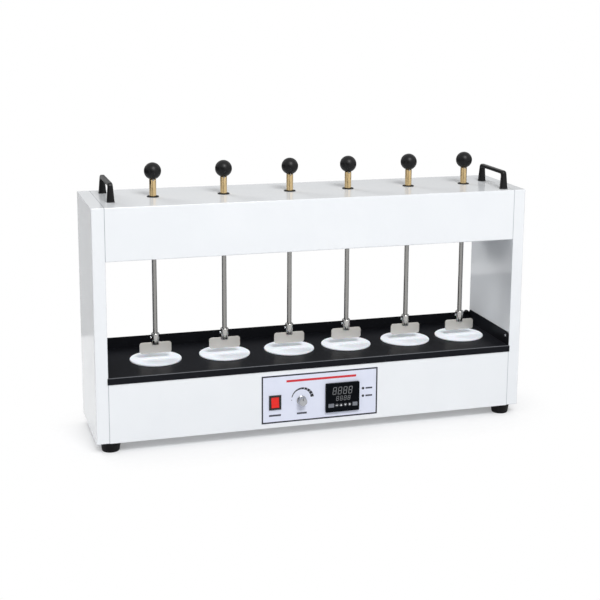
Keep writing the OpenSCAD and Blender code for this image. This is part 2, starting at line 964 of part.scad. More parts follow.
module speed_pot() {
    back = panel_y + sheet;
    bore_end = panel_y + 8 + running;
    nut_front = face_y - 2;
    translate([knob_x, 0, controls_z]) {
        color("#7a6f56") difference() {
            union() {
                rod_y(0, 0, pot_d, back, back + pot_depth);
                rod_y(0, 0, pot_bush_d, nut_front - 1, back + eps);
                box([-6, back + 4, -pot_d / 2 - 8], [6, back + 5, 0]);
            }
            rod_y(0, 0, pot_shaft_d + 2 * running, nut_front - 2, bore_end);
        }
        color(brass) difference() {
            translate([0, nut_front, 0]) rotate([-90, 0, 0]) cylinder(d = 14.6, h = 2, $fn = 6);
            rod_y(0, 0, pot_bush_d + 2 * grip, nut_front - eps, face_y + eps);
        }
    }
}

module on_keys() {
    for (k = [-1.5 : 1 : 1.5]) translate([key_x + k * key_pitch, 0, key_z]) children();
}

meter_face_y = face_y - meter_proud;
meter_board_y = meter_face_y + meter_plate + key_flange + key_travel + 2.2;

module meter_case() {
    back = panel_y + meter_depth;
    room_w = meter_body_w - 2 * meter_wall;
    room_h = meter_body_h - 2 * meter_wall;
    plate_back = meter_face_y + meter_plate;
    pocket = window_t + 0.1;
    color(black) difference() {
        union() {
            along_y(meter_face_y, face_y) round_rect(
                [meter_x - meter_w / 2, controls_z - meter_h / 2],
                [meter_x + meter_w / 2, controls_z + meter_h / 2],
                1.5
            );
            box([meter_x - meter_body_w / 2, meter_face_y + 1, controls_z - meter_body_h / 2],
                [meter_x + meter_body_w / 2, back, controls_z + meter_body_h / 2]);
        }
        box([meter_x - room_w / 2, plate_back, controls_z - room_h / 2],
            [meter_x + room_w / 2, back - meter_wall, controls_z + room_h / 2]);
        box([meter_x - window_w / 2 - fit, meter_face_y - eps, window_z - window_h / 2 - fit],
            [meter_x + window_w / 2 + fit, meter_face_y + pocket, window_z + window_h / 2 + fit]);
        box([meter_x - window_w / 2 + 2, meter_face_y, window_z - window_h / 2 + 2],
            [meter_x + window_w / 2 - 2, plate_back + eps, window_z + window_h / 2 - 2]);
        on_keys() rod_y(0, 0, key_d + 2 * seam, meter_face_y - eps, plate_back + eps);
    }
    color("#2c4a34") meter_board(plate_back);
}

// Board behind the meter's face, with its two displays and the key switches
module meter_board(plate_back) {
    half_board = [meter_body_w / 2 - meter_wall - fit, meter_body_h / 2 - meter_wall - fit];
    display_y = plate_back + 0.3;
    box(
        [meter_x - half_board.x, meter_board_y, controls_z - half_board.y],
        [meter_x + half_board.x, meter_board_y + board_t, controls_z + half_board.y]
    );
    box([meter_x - 26, display_y, window_z - 1], [meter_x + 26, meter_board_y + eps, window_z + 16]);
    box([meter_x - 19, display_y, window_z - 15], [meter_x + 19, meter_board_y + eps, window_z - 3]);
    on_keys() rod_y(0, 0, 3.4, plate_back + 0.05 + key_flange + key_travel + 0.1, meter_board_y + eps);
}

module meter_window() {
    color("#15181c") box(
        [meter_x - window_w / 2, meter_face_y + 0.1, window_z - window_h / 2],
        [meter_x + window_w / 2, meter_face_y + 0.1 + window_t, window_z + window_h / 2]
    );
}

// Key cap with a flange behind the meter's face plate
module meter_key(k) {
    plate_back = meter_face_y + meter_plate;
    color("#2a2c30") translate([key_x + (k - 2.5) * key_pitch, 0, key_z]) {
        rod_y(0, 0, key_d, meter_face_y - key_proud, plate_back + 0.05 + key_flange);
        rod_y(0, 0, key_d + 1.2, plate_back + 0.05, plate_back + 0.05 + key_flange);
    }
}

// ---- Inside the base

module power_supply() {
    size = supply_size;
    z0 = z_case + sheet;
    color("#a9adb2") difference() {
        box([supply_x - size.x / 2, -size.y / 2, z0], [supply_x + size.x / 2, size.y / 2, z0 + size.z]);
        for (k = [-3 : 3], x = supply_x + k * supply_slot_pitch) box(
            [x - supply_slot_w / 2, -size.y / 2 + supply_slot_edge, z0 + size.z - 1],
            [x + supply_slot_w / 2, size.y / 2 - supply_slot_edge, z0 + size.z + eps]
        );
    }
}

module driver_board() {
    half = [driver_size.x / 2, driver_size.y / 2];
    z0 = z_case + sheet;
    zb = z0 + standoff_h;
    z_on = zb + driver_size.z;
    block = transformer_size;
    strip = terminal_size;
    edge = 2 * standoff_edge;
    color("#2f6b3f") translate([driver_x, 0, 0]) {
        box([-half.x, -half.y, zb], [half.x, half.y, z_on]);
        for (x = [-1, 1], y = [-1, 1])
            translate([x * (half.x - standoff_edge), y * (half.y - standoff_edge), 0])
                turned(standoff_d, z0, zb + eps);
        for (k = [0 : 2]) translate([k * capacitor_pitch - half.x / 2, capacitor_d, 0])
            turned(capacitor_d, zb, z_on + capacitor_h);
        box([half.x - edge - block.x, -block.y / 2, zb], [half.x - edge, block.y / 2, z_on + block.z]);
        box([-half.x + edge, -half.y + edge / 2, zb],
            [-half.x + edge + strip.x, -half.y + edge / 2 + strip.y, z_on + strip.z]);
    }
}

gland_thread_d = 12;

module cable_gland() {
    hex_t = 5;
    nut_t = 4;
    nut_d = 20;
    inside = inside_y - nut_t - 3;
    cap_d = 15;
    color(black) translate([gland_x, 0, gland_z]) difference() {
        union() {
            rod_y(0, 0, gland_thread_d, inside, half_d + hex_t);
            translate([0, half_d, 0]) rotate([-90, 0, 0]) cylinder(d = nut_d, h = hex_t, $fn = 6);
            rod_y(0, 0, cap_d, half_d + hex_t, half_d + gland_reach);
            translate([0, inside_y - nut_t, 0]) rotate([-90, 0, 0]) cylinder(d = nut_d, h = nut_t, $fn = 6);
        }
        rod_y(0, 0, gland_bore, inside - eps, half_d + gland_reach + eps);
    }
}

// ---- Screws

// Dome-headed screw along +Z, its head seated at z = 0 and its shank below
module screw(head_d, head_h, d, length) {
    sphere_r = (head_d * head_d / 4 + head_h * head_h) / (2 * head_h);
    intersection() {
        translate([0, 0, head_h - sphere_r]) sphere(r = sphere_r);
        cylinder(d = head_d, h = head_h);
    }
    translate([0, 0, -length]) cylinder(d = d, h = length + 0.5);
}

// Hexagon nut on a shank of diameter d, its seat at a depth below z = 0
module nut(d, depth) {
    nut_h = 0.8 * d;
    difference() {
        translate([0, 0, -depth - nut_h]) cylinder(d = 2 * d, h = nut_h, $fn = 6);
        turned(d + 2 * grip, -depth - nut_h - eps, -depth + eps);
    }
}

// Each fastener is a screw and, where it ends in the open, its nut
module rear_fastener() {
    grip_depth = 2 * sheet;
    screw(dome_d, 3.6, rear_screw_d, grip_depth + rear_screw_d);
    nut(rear_screw_d, grip_depth);
}

module end_fastener() {
    grip_depth = 2 * sheet + seam;
    screw(7, 2, end_screw_d, grip_depth + end_screw_d);
    nut(end_screw_d, grip_depth);
}

module foot_fastener() {
    grip_depth = foot_h - foot_sink_h + sheet;
    screw(10, 4, foot_screw_d, grip_depth + foot_screw_d);
    nut(foot_screw_d, grip_depth);
}

module screws() {
    end_head_x = inner_x - seam - sheet;
    color(black) for (side = [-1, 1])
        translate([side * rear_screw_x, shelf_rear_y, rear_screw_z]) rotate([90, 0, 0])
            rear_fastener();
    color(steel) {
        for (side = [0, 1]) mirror([side, 0, 0])
            translate([end_head_x, end_screw_y, end_screw_z]) rotate([0, -90, 0])
                end_fastener();
        on_feet() translate([0, 0, foot_sink_h]) rotate([180, 0, 0])
            foot_fastener();
        handle_legs() translate([0, 0, z_top - sheet]) rotate([180, 0, 0])
            screw(9, 3.5, handle_screw_d, sheet + handle_screw_reach);
    }
}

// ---- All nodes

left_pillar();
right_pillar();
left_liner();
right_liner();
head_cover();
drive_deck();
bearing_rail();
base_front_panel();
base_rear_panel();
base_floor();
tray();
jar_discs();
feet();
left_handle();
right_handle();
shaft_grommets();
bearings();
screws();
control_label();
switch_frame();
switch_rocker();
speed_knob();
speed_pot();
meter_case();
meter_window();
meter_key(1);  // meter_key_1
meter_key(2);  // meter_key_2
meter_key(3);  // meter_key_3
meter_key(4);  // meter_key_4
gear_motor();
motor_pulley();
drive_belts();
speed_sensor();
power_supply();
driver_board();
cable_gland();
spindle(0);  // spindle_1
spindle(1);  // spindle_2
spindle(2);  // spindle_3
spindle(3);  // spindle_4
spindle(4);  // spindle_5
spindle(5);  // spindle_6
pulley(0);  // pulley_1
pulley(1);  // pulley_2
pulley(2);  // pulley_3
pulley(3);  // pulley_4
pulley(4);  // pulley_5
pulley(5);  // pulley_6
stirrer(0);  // stirrer_1
stirrer(1);  // stirrer_2
stirrer(2);  // stirrer_3
stirrer(3);  // stirrer_4
stirrer(4);  // stirrer_5
stirrer(5);  // stirrer_6
ball_knob(0);  // knob_1
ball_knob(1);  // knob_2
ball_knob(2);  // knob_3
ball_knob(3);  // knob_4
ball_knob(4);  // knob_5
ball_knob(5);  // knob_6
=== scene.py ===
"""The looks of a six-place jar tester: a powder-coated case, ground-steel stirrers and a black shelf."""

import bpy
import numpy as np
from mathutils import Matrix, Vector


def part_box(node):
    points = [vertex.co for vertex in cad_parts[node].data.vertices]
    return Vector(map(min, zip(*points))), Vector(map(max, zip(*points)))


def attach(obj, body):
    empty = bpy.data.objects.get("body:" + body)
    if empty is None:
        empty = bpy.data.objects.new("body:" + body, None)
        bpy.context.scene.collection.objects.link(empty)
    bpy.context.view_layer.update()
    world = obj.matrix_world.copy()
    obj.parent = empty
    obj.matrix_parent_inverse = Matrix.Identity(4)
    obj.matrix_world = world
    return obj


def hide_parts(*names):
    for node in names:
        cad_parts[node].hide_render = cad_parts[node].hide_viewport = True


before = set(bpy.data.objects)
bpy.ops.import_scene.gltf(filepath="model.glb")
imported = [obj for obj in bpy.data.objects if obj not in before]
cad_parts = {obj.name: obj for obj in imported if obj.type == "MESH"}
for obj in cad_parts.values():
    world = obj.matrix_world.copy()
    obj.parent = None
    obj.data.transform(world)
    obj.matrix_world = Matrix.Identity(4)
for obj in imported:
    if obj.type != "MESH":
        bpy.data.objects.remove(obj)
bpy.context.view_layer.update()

MM = 0.001
TURN = 2 * np.pi

# ---- Places taken from the frame, in metres


def middle(node, axis):
    """Middle of a node's box along one axis."""
    low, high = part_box(node)
    return (low[axis] + high[axis]) / 2


PLACES = range(1, 7)
STATIONS = [middle(f"knob_{k}", 0) for k in PLACES]
TOP_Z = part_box("head_cover")[1][2]
TUBE_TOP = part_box("spindle_1")[1][2]
SHELF_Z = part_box("jar_discs")[0][2]
FRONT_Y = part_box("head_cover")[0][1]
BACK_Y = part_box("head_cover")[1][1]
INNER_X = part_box("right_pillar")[0][0]
LABEL_LOW, LABEL_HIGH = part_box("control_label")
LABEL_Y = LABEL_LOW[1]
CONTROLS_Z = middle("meter_case", 2)
SWITCH_X = middle("switch_frame", 0)
KNOB_X = middle("speed_knob", 0)
METER_X = middle("meter_case", 0)
SHEET = 1.2 * MM
SEAM = 0.3 * MM

# ---- Finishes


def linear(code):
    """A colour written as sRGB hex, made linear.

    Each channel is c / 12.92 up to 0.04045, and ((c + 0.055) / 1.055) to the power 2.4 above it.
    """
    srgb = np.array([int(code[i:i + 2], 16) for i in (0, 2, 4)]) / 255
    value = np.where(srgb <= 0.04045, srgb / 12.92, ((srgb + 0.055) / 1.055) ** 2.4)
    return (*value.tolist(), 1.0)


def add_node(tree, kind, inputs=None, **settings):
    """Adds a node, sets its properties, and gives its inputs values or links from other nodes' outputs."""
    made = tree.nodes.new("ShaderNode" + kind)
    for key, value in settings.items():
        setattr(made, key, value)
    for key, value in (inputs or {}).items():
        if isinstance(value, bpy.types.NodeSocket):
            tree.links.new(value, made.inputs[key])
        else:
            made.inputs[key].default_value = value
    return made


def finish_of(name, colour, **sockets):
    """A Principled surface with its constants on the shader's own sockets, as material, tree and shader."""
    made = bpy.data.materials.new(name)
    made.use_nodes = True
    tree = made.node_tree
    tree.nodes.clear()
    shader = add_node(tree, "BsdfPrincipled", {"Base Color": linear(colour), **sockets})
    add_node(tree, "OutputMaterial", {"Surface": shader.outputs[0]})
    return made, tree, shader


def two_tone(tree, factor, dark, light):
    """Two close tones of one colour, blended by a factor."""
    blend = add_node(tree, "Mix", {0: factor, 6: linear(dark), 7: linear(light)}, data_type="RGBA")
    return blend.outputs[2]


def raise_surface(tree, shader, height, depth, strength):
    """Turns a pattern into relief of a real depth."""
    bump = add_node(tree, "Bump", {"Height": height, "Distance": depth, "Strength": strength})
    tree.links.new(bump.outputs[0], shader.inputs["Normal"])


# Widths of the faint cloudiness in a coat and in a moulding, and the span that most of a noise's values fill
COAT_CLOUD, MOULDED_CLOUD = 120 * MM, 20 * MM
NOISE_LOW, NOISE_HIGH = 0.3, 0.7


def powder_coat(name, dark, light, roughness, peel, depth, **sockets):
    """Baked powder coat: flowed out smooth, with faint orange peel that makes highlights slightly wavy."""
    made, tree, shader = finish_of(name, light, **{"Roughness": roughness, "IOR": 1.5, **sockets})
    place = add_node(tree, "TexCoord").outputs["Object"]
    cloud = add_node(tree, "TexNoise", {"Vector": place, "Scale": 1 / COAT_CLOUD, "Detail": 2.0})
    tree.links.new(two_tone(tree, cloud.outputs[0], dark, light), shader.inputs["Base Color"])
    skin = add_node(tree, "TexNoise", {"Vector": place, "Scale": 1 / peel, "Detail": 1.0})
    raise_surface(tree, shader, skin.outputs[0], depth, 1.0)
    return made


def band_mask(tree, place, axis, centre, half_width):
    """1 where ||coordinate| - centre| < half a width, 0 elsewhere, so both sides of the case get it."""
    level = add_node(tree, "SeparateXYZ", {0: place}).outputs[axis]
    either_side = add_node(tree, "Math", {0: level}, operation="ABSOLUTE").outputs[0]
    away = add_node(tree, "Math", {0: either_side, 1: centre}, operation="SUBTRACT").outputs[0]
    near = add_node(tree, "Math", {0: away}, operation="ABSOLUTE").outputs[0]
    return add_node(tree, "Math", {0: near, 1: half_width}, operation="LESS_THAN").outputs[0]


def paint_edge_shade_and_highlight(material, masks, colour):
    """Paints a tone into a finish where all the masks meet: painted shade in a seam, or a painted highlight
    along a fold.
    """
    tree = material.node_tree
    shader = next(node for node in tree.nodes if node.type == "BSDF_PRINCIPLED")
    under = shader.inputs["Base Color"].links[0].from_socket
    place = add_node(tree, "TexCoord").outputs["Object"]
    share = 1.0
    for axis, centre, half_width in masks:
        mask = band_mask(tree, place, axis, centre, half_width)
        share = add_node(tree, "Math", {0: share, 1: mask}, operation="MULTIPLY").outputs[0]
    painted_tone = add_node(tree, "Mix", {0: share, 6: under, 7: linear(colour)}, data_type="RGBA")
    tree.links.new(painted_tone.outputs[2], shader.inputs["Base Color"])


def moulded(name, dark, light, roughness, grain, depth, **sockets):
    """Moulded plastic or rubber: one deep colour with a fine spark-eroded grain that breaks up the gloss."""
    made, tree, shader = finish_of(name, light, **{"Roughness": roughness, **sockets})
    place = add_node(tree, "TexCoord").outputs["Object"]
    cloud = add_node(tree, "TexNoise", {"Vector": place, "Scale": 1 / MOULDED_CLOUD, "Detail": 2.0})
    tree.links.new(two_tone(tree, cloud.outputs[0], dark, light), shader.inputs["Base Color"])
    pits = add_node(tree, "TexVoronoi", {"Vector": place, "Scale": 1 / grain})
    raise_surface(tree, shader, pits.outputs[0], depth, 0.6)
    return made


def worked_metal(name, dark, light, roughness, marks, depth, stretch=(1, 1, 1), spread=0.08):
    """Cut, ground or rolled metal: tool marks drawn out one way, which smear the highlight across them."""
    made, tree, shader = finish_of(name, light, **{"Metallic": 1.0, "Roughness": roughness})
    place = add_node(tree, "TexCoord").outputs["Object"]
    drawn = add_node(tree, "Mapping", {"Vector": place, "Scale": stretch}).outputs[0]
    lines = add_node(tree, "TexNoise", {"Vector": drawn, "Scale": 1 / marks, "Detail": 3.0}).outputs[0]
    tree.links.new(two_tone(tree, lines, dark, light), shader.inputs["Base Color"])
    low, high = roughness - spread / 2, roughness + spread / 2
    gloss = add_node(tree, "MapRange", {0: lines, 1: NOISE_LOW, 2: NOISE_HIGH, 3: low, 4: high})
    tree.links.new(gloss.outputs[0], shader.inputs["Roughness"])
    raise_surface(tree, shader, lines, depth, 0.8)
    return made


# Tool marks run round a turned part, so the noise is drawn out in the two directions across its axis
ROUND_Z = (0.05, 0.05, 1)
ROUND_Y = (0.05, 1, 0.05)

# Gloss polyester powder coat, near white with a cold cast; peel about 3 mm wide
case_white = powder_coat("powder_coat_white", "E9ECEF", "F1F3F5", 0.13, 3 * MM, 0.008 * MM)
# Fine-textured black powder coat of the shelf: the texture kills most of the mirror at a flat angle
shelf_black = powder_coat(
    "powder_coat_black", "191A1D", "202125", 0.3, 1.2 * MM, 0.03 * MM, **{"Specular IOR Level": 0.02}
)
# Zinc-plated sheet inside the head: bluish, with rolling marks along the case
zinc_sheet = worked_metal("zinc_plated_sheet", "8F969D", "B4BAC0", 0.42, 2 * MM, 0.02 * MM, (0.05, 1, 1))
# Centreless-ground stainless rod: fine marks round the bar
ground_rod = worked_metal(
    "ground_stainless_rod", "908F8D", "9C9B99", 0.16, 1.2 * MM, 0.001 * MM, ROUND_Z, 0.03
)
# Turned stainless hub, a little duller than the rod
turned_hub = worked_metal(
    "turned_stainless_hub", "AFAEAC", "BFBEBC", 0.2, 1.5 * MM, 0.002 * MM, ROUND_Z, 0.04
)
# Bead-blasted stainless blade: warm grey and matt
blasted_blade = worked_metal("blasted_stainless_blade", "C6C3BE", "DEDBD6", 0.48, 1 * MM, 0.02 * MM)
# Turned brass drive tube
turned_brass = worked_metal("turned_brass", "D2B684", "DCC294", 0.17, 1.4 * MM, 0.0006 * MM, ROUND_Z, 0.03)
# Sintered bronze bush, porous and dull
bronze = worked_metal("sintered_bronze", "7E5C36", "9C7748", 0.5, 0.8 * MM, 0.03 * MM)
# Turned and clear-anodised aluminium knob, marks round the Y axis
knob_metal = worked_metal("anodised_aluminium_knob", "94969A", "C0C2C5", 0.2, 1 * MM, 0.01 * MM, ROUND_Y)
# Turned aluminium pulleys
pulley_metal = worked_metal("turned_aluminium_pulley", "84878B", "B3B6BA", 0.34, 1.5 * MM, 0.01 * MM, ROUND_Z)
# Bright zinc-plated screws
bright_screw = worked_metal("bright_plated_screw", "AEB1B5", "D5D7DA", 0.25, 1 * MM, 0.005 * MM)
# Cast and enamelled motor body
motor_paint = powder_coat("motor_grey_enamel", "6C7076", "7F848B", 0.4, 2 * MM, 0.04 * MM)
# Phenolic ball knob, tumbled to a soft polish, so a lamp shows in it as a blurred spot
ball_black = moulded(
    "polished_phenolic_black", "050507", "09090C", 0.4, 1.5 * MM, 0.002 * MM, **{"Specular IOR Level": 0.26}
)
# Moulded black nylon of the handles
nylon_black = moulded(
    "moulded_nylon_black", "060608", "0B0B0E", 0.36, 1.1 * MM, 0.02 * MM, **{"Specular IOR Level": 0.25}
)
# Feet and grommets: rubber, with a soft bloom
rubber_black = moulded(
    "moulded_rubber_black", "060607", "0C0C0E", 0.55, 1.4 * MM, 0.05 * MM, **{"Specular IOR Level": 0.15}
)
# White jar discs, moulded in polyethylene: slightly waxy, so light soaks in a little
disc_white = moulded(
    "moulded_polyethylene_white", "F2F7FF", "F7FBFF", 0.5, 2.2 * MM, 0.006 * MM,
    **{"Specular IOR Level": 0.15, "Subsurface Weight": 0.1, "Subsurface Scale": 1 * MM},
)
# Switch frame: gloss black nylon
switch_black = moulded("moulded_gloss_black", "0A0A0C", "121214", 0.25, 1.5 * MM, 0.004 * MM)
# Red rocker: dyed polycarbonate, glossy
rocker_red = moulded(
    "dyed_polycarbonate_red", "DE1A14", "F02820", 0.25, 2 * MM, 0.003 * MM,
    **{"Specular IOR Level": 0.3, "Coat Weight": 0.15},
)
# Meter case: lightly textured ABS
meter_black = moulded(
    "moulded_abs_black", "05080C", "0A0E13", 0.42, 0.9 * MM, 0.02 * MM, **{"Specular IOR Level": 0.04}
)
# Smoked acrylic window over the displays, polished
window_smoke = moulded(
    "smoked_acrylic", "03060A", "070A0F", 0.12, 4 * MM, 0.001 * MM, **{"Specular IOR Level": 0.05}
)
# Silicone keys, grey with a soft touch
key_grey = moulded("silicone_key_grey", "24262A", "303337", 0.55, 0.8 * MM, 0.02 * MM)
# Printed film of the control label: satin lavender grey
label_film = moulded("printed_film_grey", "DCE0F0", "E3E7F5", 0.45, 0.8 * MM, 0.004 * MM)
# Screen inks, flat and slightly raised
ink_dark = moulded("screen_ink_dark", "1C1D24", "24252D", 0.5, 0.6 * MM, 0.004 * MM)
ink_soft = moulded("screen_ink_slate", "3A3C46", "464854", 0.5, 0.6 * MM, 0.004 * MM)
ink_red = moulded("screen_ink_red", "C8232D", "D42C36", 0.5, 0.6 * MM, 0.004 * MM)
ink_white = moulded("screen_ink_white", "C9CBCF", "DADCE0", 0.5, 0.6 * MM, 0.004 * MM)
ink_grey = moulded("screen_ink_grey", "7A7E86", "8B8F97", 0.5, 0.6 * MM, 0.004 * MM)
# Unlit bars of the displays, seen through the smoked window
digit_grey = moulded("unlit_display_bar", "606264", "747678", 0.4, 0.6 * MM, 0.002 * MM)
# Things inside the base and the head
belt_black = moulded("fabric_faced_belt", "101011", "1B1B1C", 0.7, 0.9 * MM, 0.05 * MM)
board_green = moulded("glass_fibre_board", "1F5A35", "2D6E43", 0.35, 1.2 * MM, 0.01 * MM)
pot_brown = moulded("phenolic_control_body", "4A4032", "5C503E", 0.5, 1 * MM, 0.02 * MM)

# Painted shade along the seams beside the pillars, front, back and top, and a painted highlight over the fold
# of the lip
SEAM_SHADE_HALF_WIDTH, FOLD_HIGHLIGHT_WIDTH, FACE_DEPTH = 0.7 * MM, 0.9 * MM, 1 * MM
# Painted shade: a darker tone along each seam line on the front, back and top faces
for face in ((1, -FRONT_Y, FACE_DEPTH), (2, TOP_Z, FACE_DEPTH)):
    paint_edge_shade_and_highlight(case_white, [(0, INNER_X - SEAM / 2, SEAM_SHADE_HALF_WIDTH), face], "C4C8CD")
# Painted highlight: a paler tone along the front fold of the shelf's lip
paint_edge_shade_and_highlight(shelf_black, [(1, -FRONT_Y, FOLD_HIGHLIGHT_WIDTH), (2, SHELF_Z - FOLD_HIGHLIGHT_WIDTH / 2, FOLD_HIGHLIGHT_WIDTH)], "6A6C70")

# ---- Mesh helpers

# Edges sharper than the first angle are shaded sharp, and a bevel rounds those sharper than the second
CREASE, BEVEL_FROM = np.radians(32), np.radians(35)


def show(name, points, faces):
    """A mesh object, its faces turned outward by the sign of their volume, smooth but for sharp edges."""
    points = np.asarray(points, dtype=float)
    signed = 0.0
    for face in faces:
        corners = points[list(face)]
        signed += float((np.cross(corners[1:-1], corners[2:]) @ corners[0]).sum())
    if signed < 0:
        faces = [tuple(reversed(face)) for face in faces]
    mesh = bpy.data.meshes.new(name)
    mesh.from_pydata(points.tolist(), [], [tuple(int(i) for i in face) for face in faces])
    mesh.polygons.foreach_set("use_smooth", np.full(len(faces), True))
    mesh.set_sharp_from_angle(angle=CREASE)
    mesh.update()
    made = bpy.data.objects.new(name, mesh)
    bpy.context.scene.collection.objects.link(made)
    return made


def quads(rings, sides, ring_loop=False):
    """Faces of a grid of rings by sides, closed round the sides and, if asked, from last ring to first."""
    i, j = np.meshgrid(np.arange(rings if ring_loop else rings - 1), np.arange(sides), indexing="ij")
    after_i, after_j = (i + 1) % rings, (j + 1) % sides
    corners = [i * sides + j, after_i * sides + j, after_i * sides + after_j, i * sides + after_j]
    return np.stack(corners, -1).reshape(-1, 4).tolist()


def lofted(name, rings, ring_loop=False):
    """A surface through a stack of closed rings, an array of rings by sides by 3, with flat ends if open."""
    count, sides = rings.shape[:2]
    faces = quads(count, sides, ring_loop)
    if not ring_loop:
        last = (count - 1) * sides
        faces += [list(range(sides)), list(range(last, last + sides))]
    return show(name, rings.reshape(-1, 3), faces)


def along(axis, across, up, depth):
    """Stacks coordinates with depth along the axis: (x, z) lie across Y, (y, z) across X, (x, y) across Z."""
    order = {"x": (depth, across, up), "y": (across, depth, up), "z": (across, up, depth)}[axis]
    return np.stack(order, -1)


def turned(name, profile, at=(0, 0, 0), axis="z", sides=64, ring_loop=False):
    """Each (radius, height) of the profile swept round an axis; a radius may be an array, one value per side.

    A point is at + (r cos a, r sin a) across the axis and h along it.
    """
    angle = np.arange(sides) * TURN / sides
    radius = np.stack([np.broadcast_to(r, sides) for r, _ in profile])
    height = np.stack([np.full(sides, h) for _, h in profile])
    rings = along(axis, radius * np.cos(angle), radius * np.sin(angle), height)
    return lofted(name, rings + np.asarray(at), ring_loop)


def arc(centre, radius, start, end, steps=8):
    """Points centre + radius (cos a, sin a) for a from start to end, in degrees."""
    a = np.radians(np.linspace(start, end, steps))
    return np.stack([centre[0] + radius * np.cos(a), centre[1] + radius * np.sin(a)], -1).tolist()


def rounded(low, high, r, steps=5):
    """Outline of a rectangle between two corners, its corners quarter circles of radius r."""
    corners = [((high[0] - r, low[1] + r), -90), ((high[0] - r, high[1] - r), 0),
               ((low[0] + r, high[1] - r), 90), ((low[0] + r, low[1] + r), 180)]
    return [p for centre, start in corners for p in arc(centre, r, start, start + 90, steps)]


def box_outline(x0, z0, x1, z1):
    """Outline of an upright rectangle between two corners."""
    return [(x0, z0), (x1, z0), (x1, z1), (x0, z1)]


def slab(name, outlines, low, high, axis="y"):
    """Flat outlines drawn out along an axis between two planes and joined in one mesh."""
    points, faces, start = [], [], 0
    for outline in outlines:
        flat = np.asarray(outline, dtype=float)
        count = len(flat)
        turn = np.roll(flat, -1, axis=0)
        if float((flat[:, 0] * turn[:, 1] - flat[:, 1] * turn[:, 0]).sum()) < 0:
            flat = flat[::-1]
        points += [along(axis, flat[:, 0], flat[:, 1], np.full(count, level)) for level in (low, high)]
        ends = [list(range(count)), list(range(2 * count - 1, count - 1, -1))]
        sides = [tuple(reversed(face)) for face in quads(2, count)]
        faces += [[int(i) + start for i in face] for face in ends + sides]
        start += 2 * count
    return show(name, np.concatenate(points), faces)


def ring_slab(name, outer, inner, low, high):
    """A flat ring between two outlines of as many points each, drawn out along Y between two planes."""
    loops = []
    for level, outline in ((low, outer), (high, outer), (high, inner), (low, inner)):
        flat = np.asarray(outline, dtype=float)
        loops.append(along("y", flat[:, 0], flat[:, 1], np.full(len(flat), level)))
    return lofted(name, np.stack(loops), True)


def soften(piece, width):
    """Rounds a piece's sharp edges with a live Bevel."""
    bevel = piece.modifiers.new("edge", "BEVEL")
    bevel.width = width
    bevel.segments = 3
    bevel.limit_method = "ANGLE"
    bevel.angle_limit = BEVEL_FROM
    bevel.harden_normals = True
    return piece


def dress(piece, material, body="root", stands_for=()):
    """Gives a piece its finish, its body and the nodes that it stands for."""
    piece.data.materials.clear()
    piece.data.materials.append(material)
    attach(piece, body)
    if stands_for:
        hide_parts(*stands_for)
    return piece


# ---- Finishes of the solids that stay as they are

NODE_FINISH = {
    case_white: ["left_pillar", "right_pillar", "left_liner", "right_liner", "head_cover",
                 "base_front_panel", "base_rear_panel", "base_floor"],
    shelf_black: ["tray"],
    zinc_sheet: ["drive_deck", "bearing_rail", "power_supply"],
    turned_brass: [f"spindle_{k}" for k in PLACES],
    bronze: ["bearings"],
    pulley_metal: ["motor_pulley"] + [f"pulley_{k}" for k in PLACES],
    motor_paint: ["gear_motor"],
    belt_black: ["drive_belts", "speed_sensor"],
    board_green: ["driver_board"],
    pot_brown: ["speed_pot"],
    label_film: ["control_label"],
    switch_black: ["switch_frame"],
    meter_black: ["meter_case"],
    window_smoke: ["meter_window"],
    key_grey: [f"meter_key_{k}" for k in range(1, 5)],
    rubber_black: ["cable_gland"],
}
for material, nodes in NODE_FINISH.items():
    for node in nodes:
        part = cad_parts[node]
        part.data.materials.clear()
        part.data.materials.append(material)

# ---- Stirrers

KNOB_LOW, KNOB_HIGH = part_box("knob_1")[0][2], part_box("knob_1")[1][2]
BALL_R = (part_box("knob_1")[1][0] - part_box("knob_1")[0][0]) / 2
STIRRER_LOW, STIRRER_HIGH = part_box("stirrer_1")[0][2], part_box("stirrer_1")[1][2]
BLADE_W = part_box("stirrer_1")[1][0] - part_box("stirrer_1")[0][0]
BLADE_H, BLADE_T, BLADE_CORNER = 21.6 * MM, 2 * MM, 4.5 * MM
ROD_R = 4.75 * MM
HUB_R, HUB_H, HUB_GRIP = 8.5 * MM, 24.6 * MM, 4 * MM
HUB_SLEEVE_R, HUB_SLEEVE_H = 7.5 * MM, 10.5 * MM
HUB_SHOULDER = 3 * MM
ROD_SEAT, SET_SCREW_RISE = 1.2 * MM, 10 * MM
PIN_R, PIN_REACH, PIN_DROP = 1.25 * MM, 6.8 * MM, 1.8 * MM
# Each screw's head radius and height, shank radius and length, and width across the flats of its socket
SET_SCREW = (2.5 * MM, 2 * MM, 2 * MM, 3.6 * MM, 2.2 * MM)
FOOT_SCREW = (5 * MM, 4 * MM, 2.5 * MM, 19 * MM, 3 * MM)
REAR_SCREW = (6 * MM, 3.6 * MM, 2.5 * MM, 7.4 * MM, 3.4 * MM)
END_SCREW = (3.5 * MM, 2 * MM, 2 * MM, 6.7 * MM, 2.5 * MM)
HANDLE_SCREW = (4.5 * MM, 3.5 * MM, 2.5 * MM, 15.2 * MM, 3 * MM)
# The ball's mould line as a share of its radius and in radians, and how near its outline comes to the pole
LINE_DEPTH, LINE_WIDTH, NEAR_POLE = 0.006, 0.02, 88.5


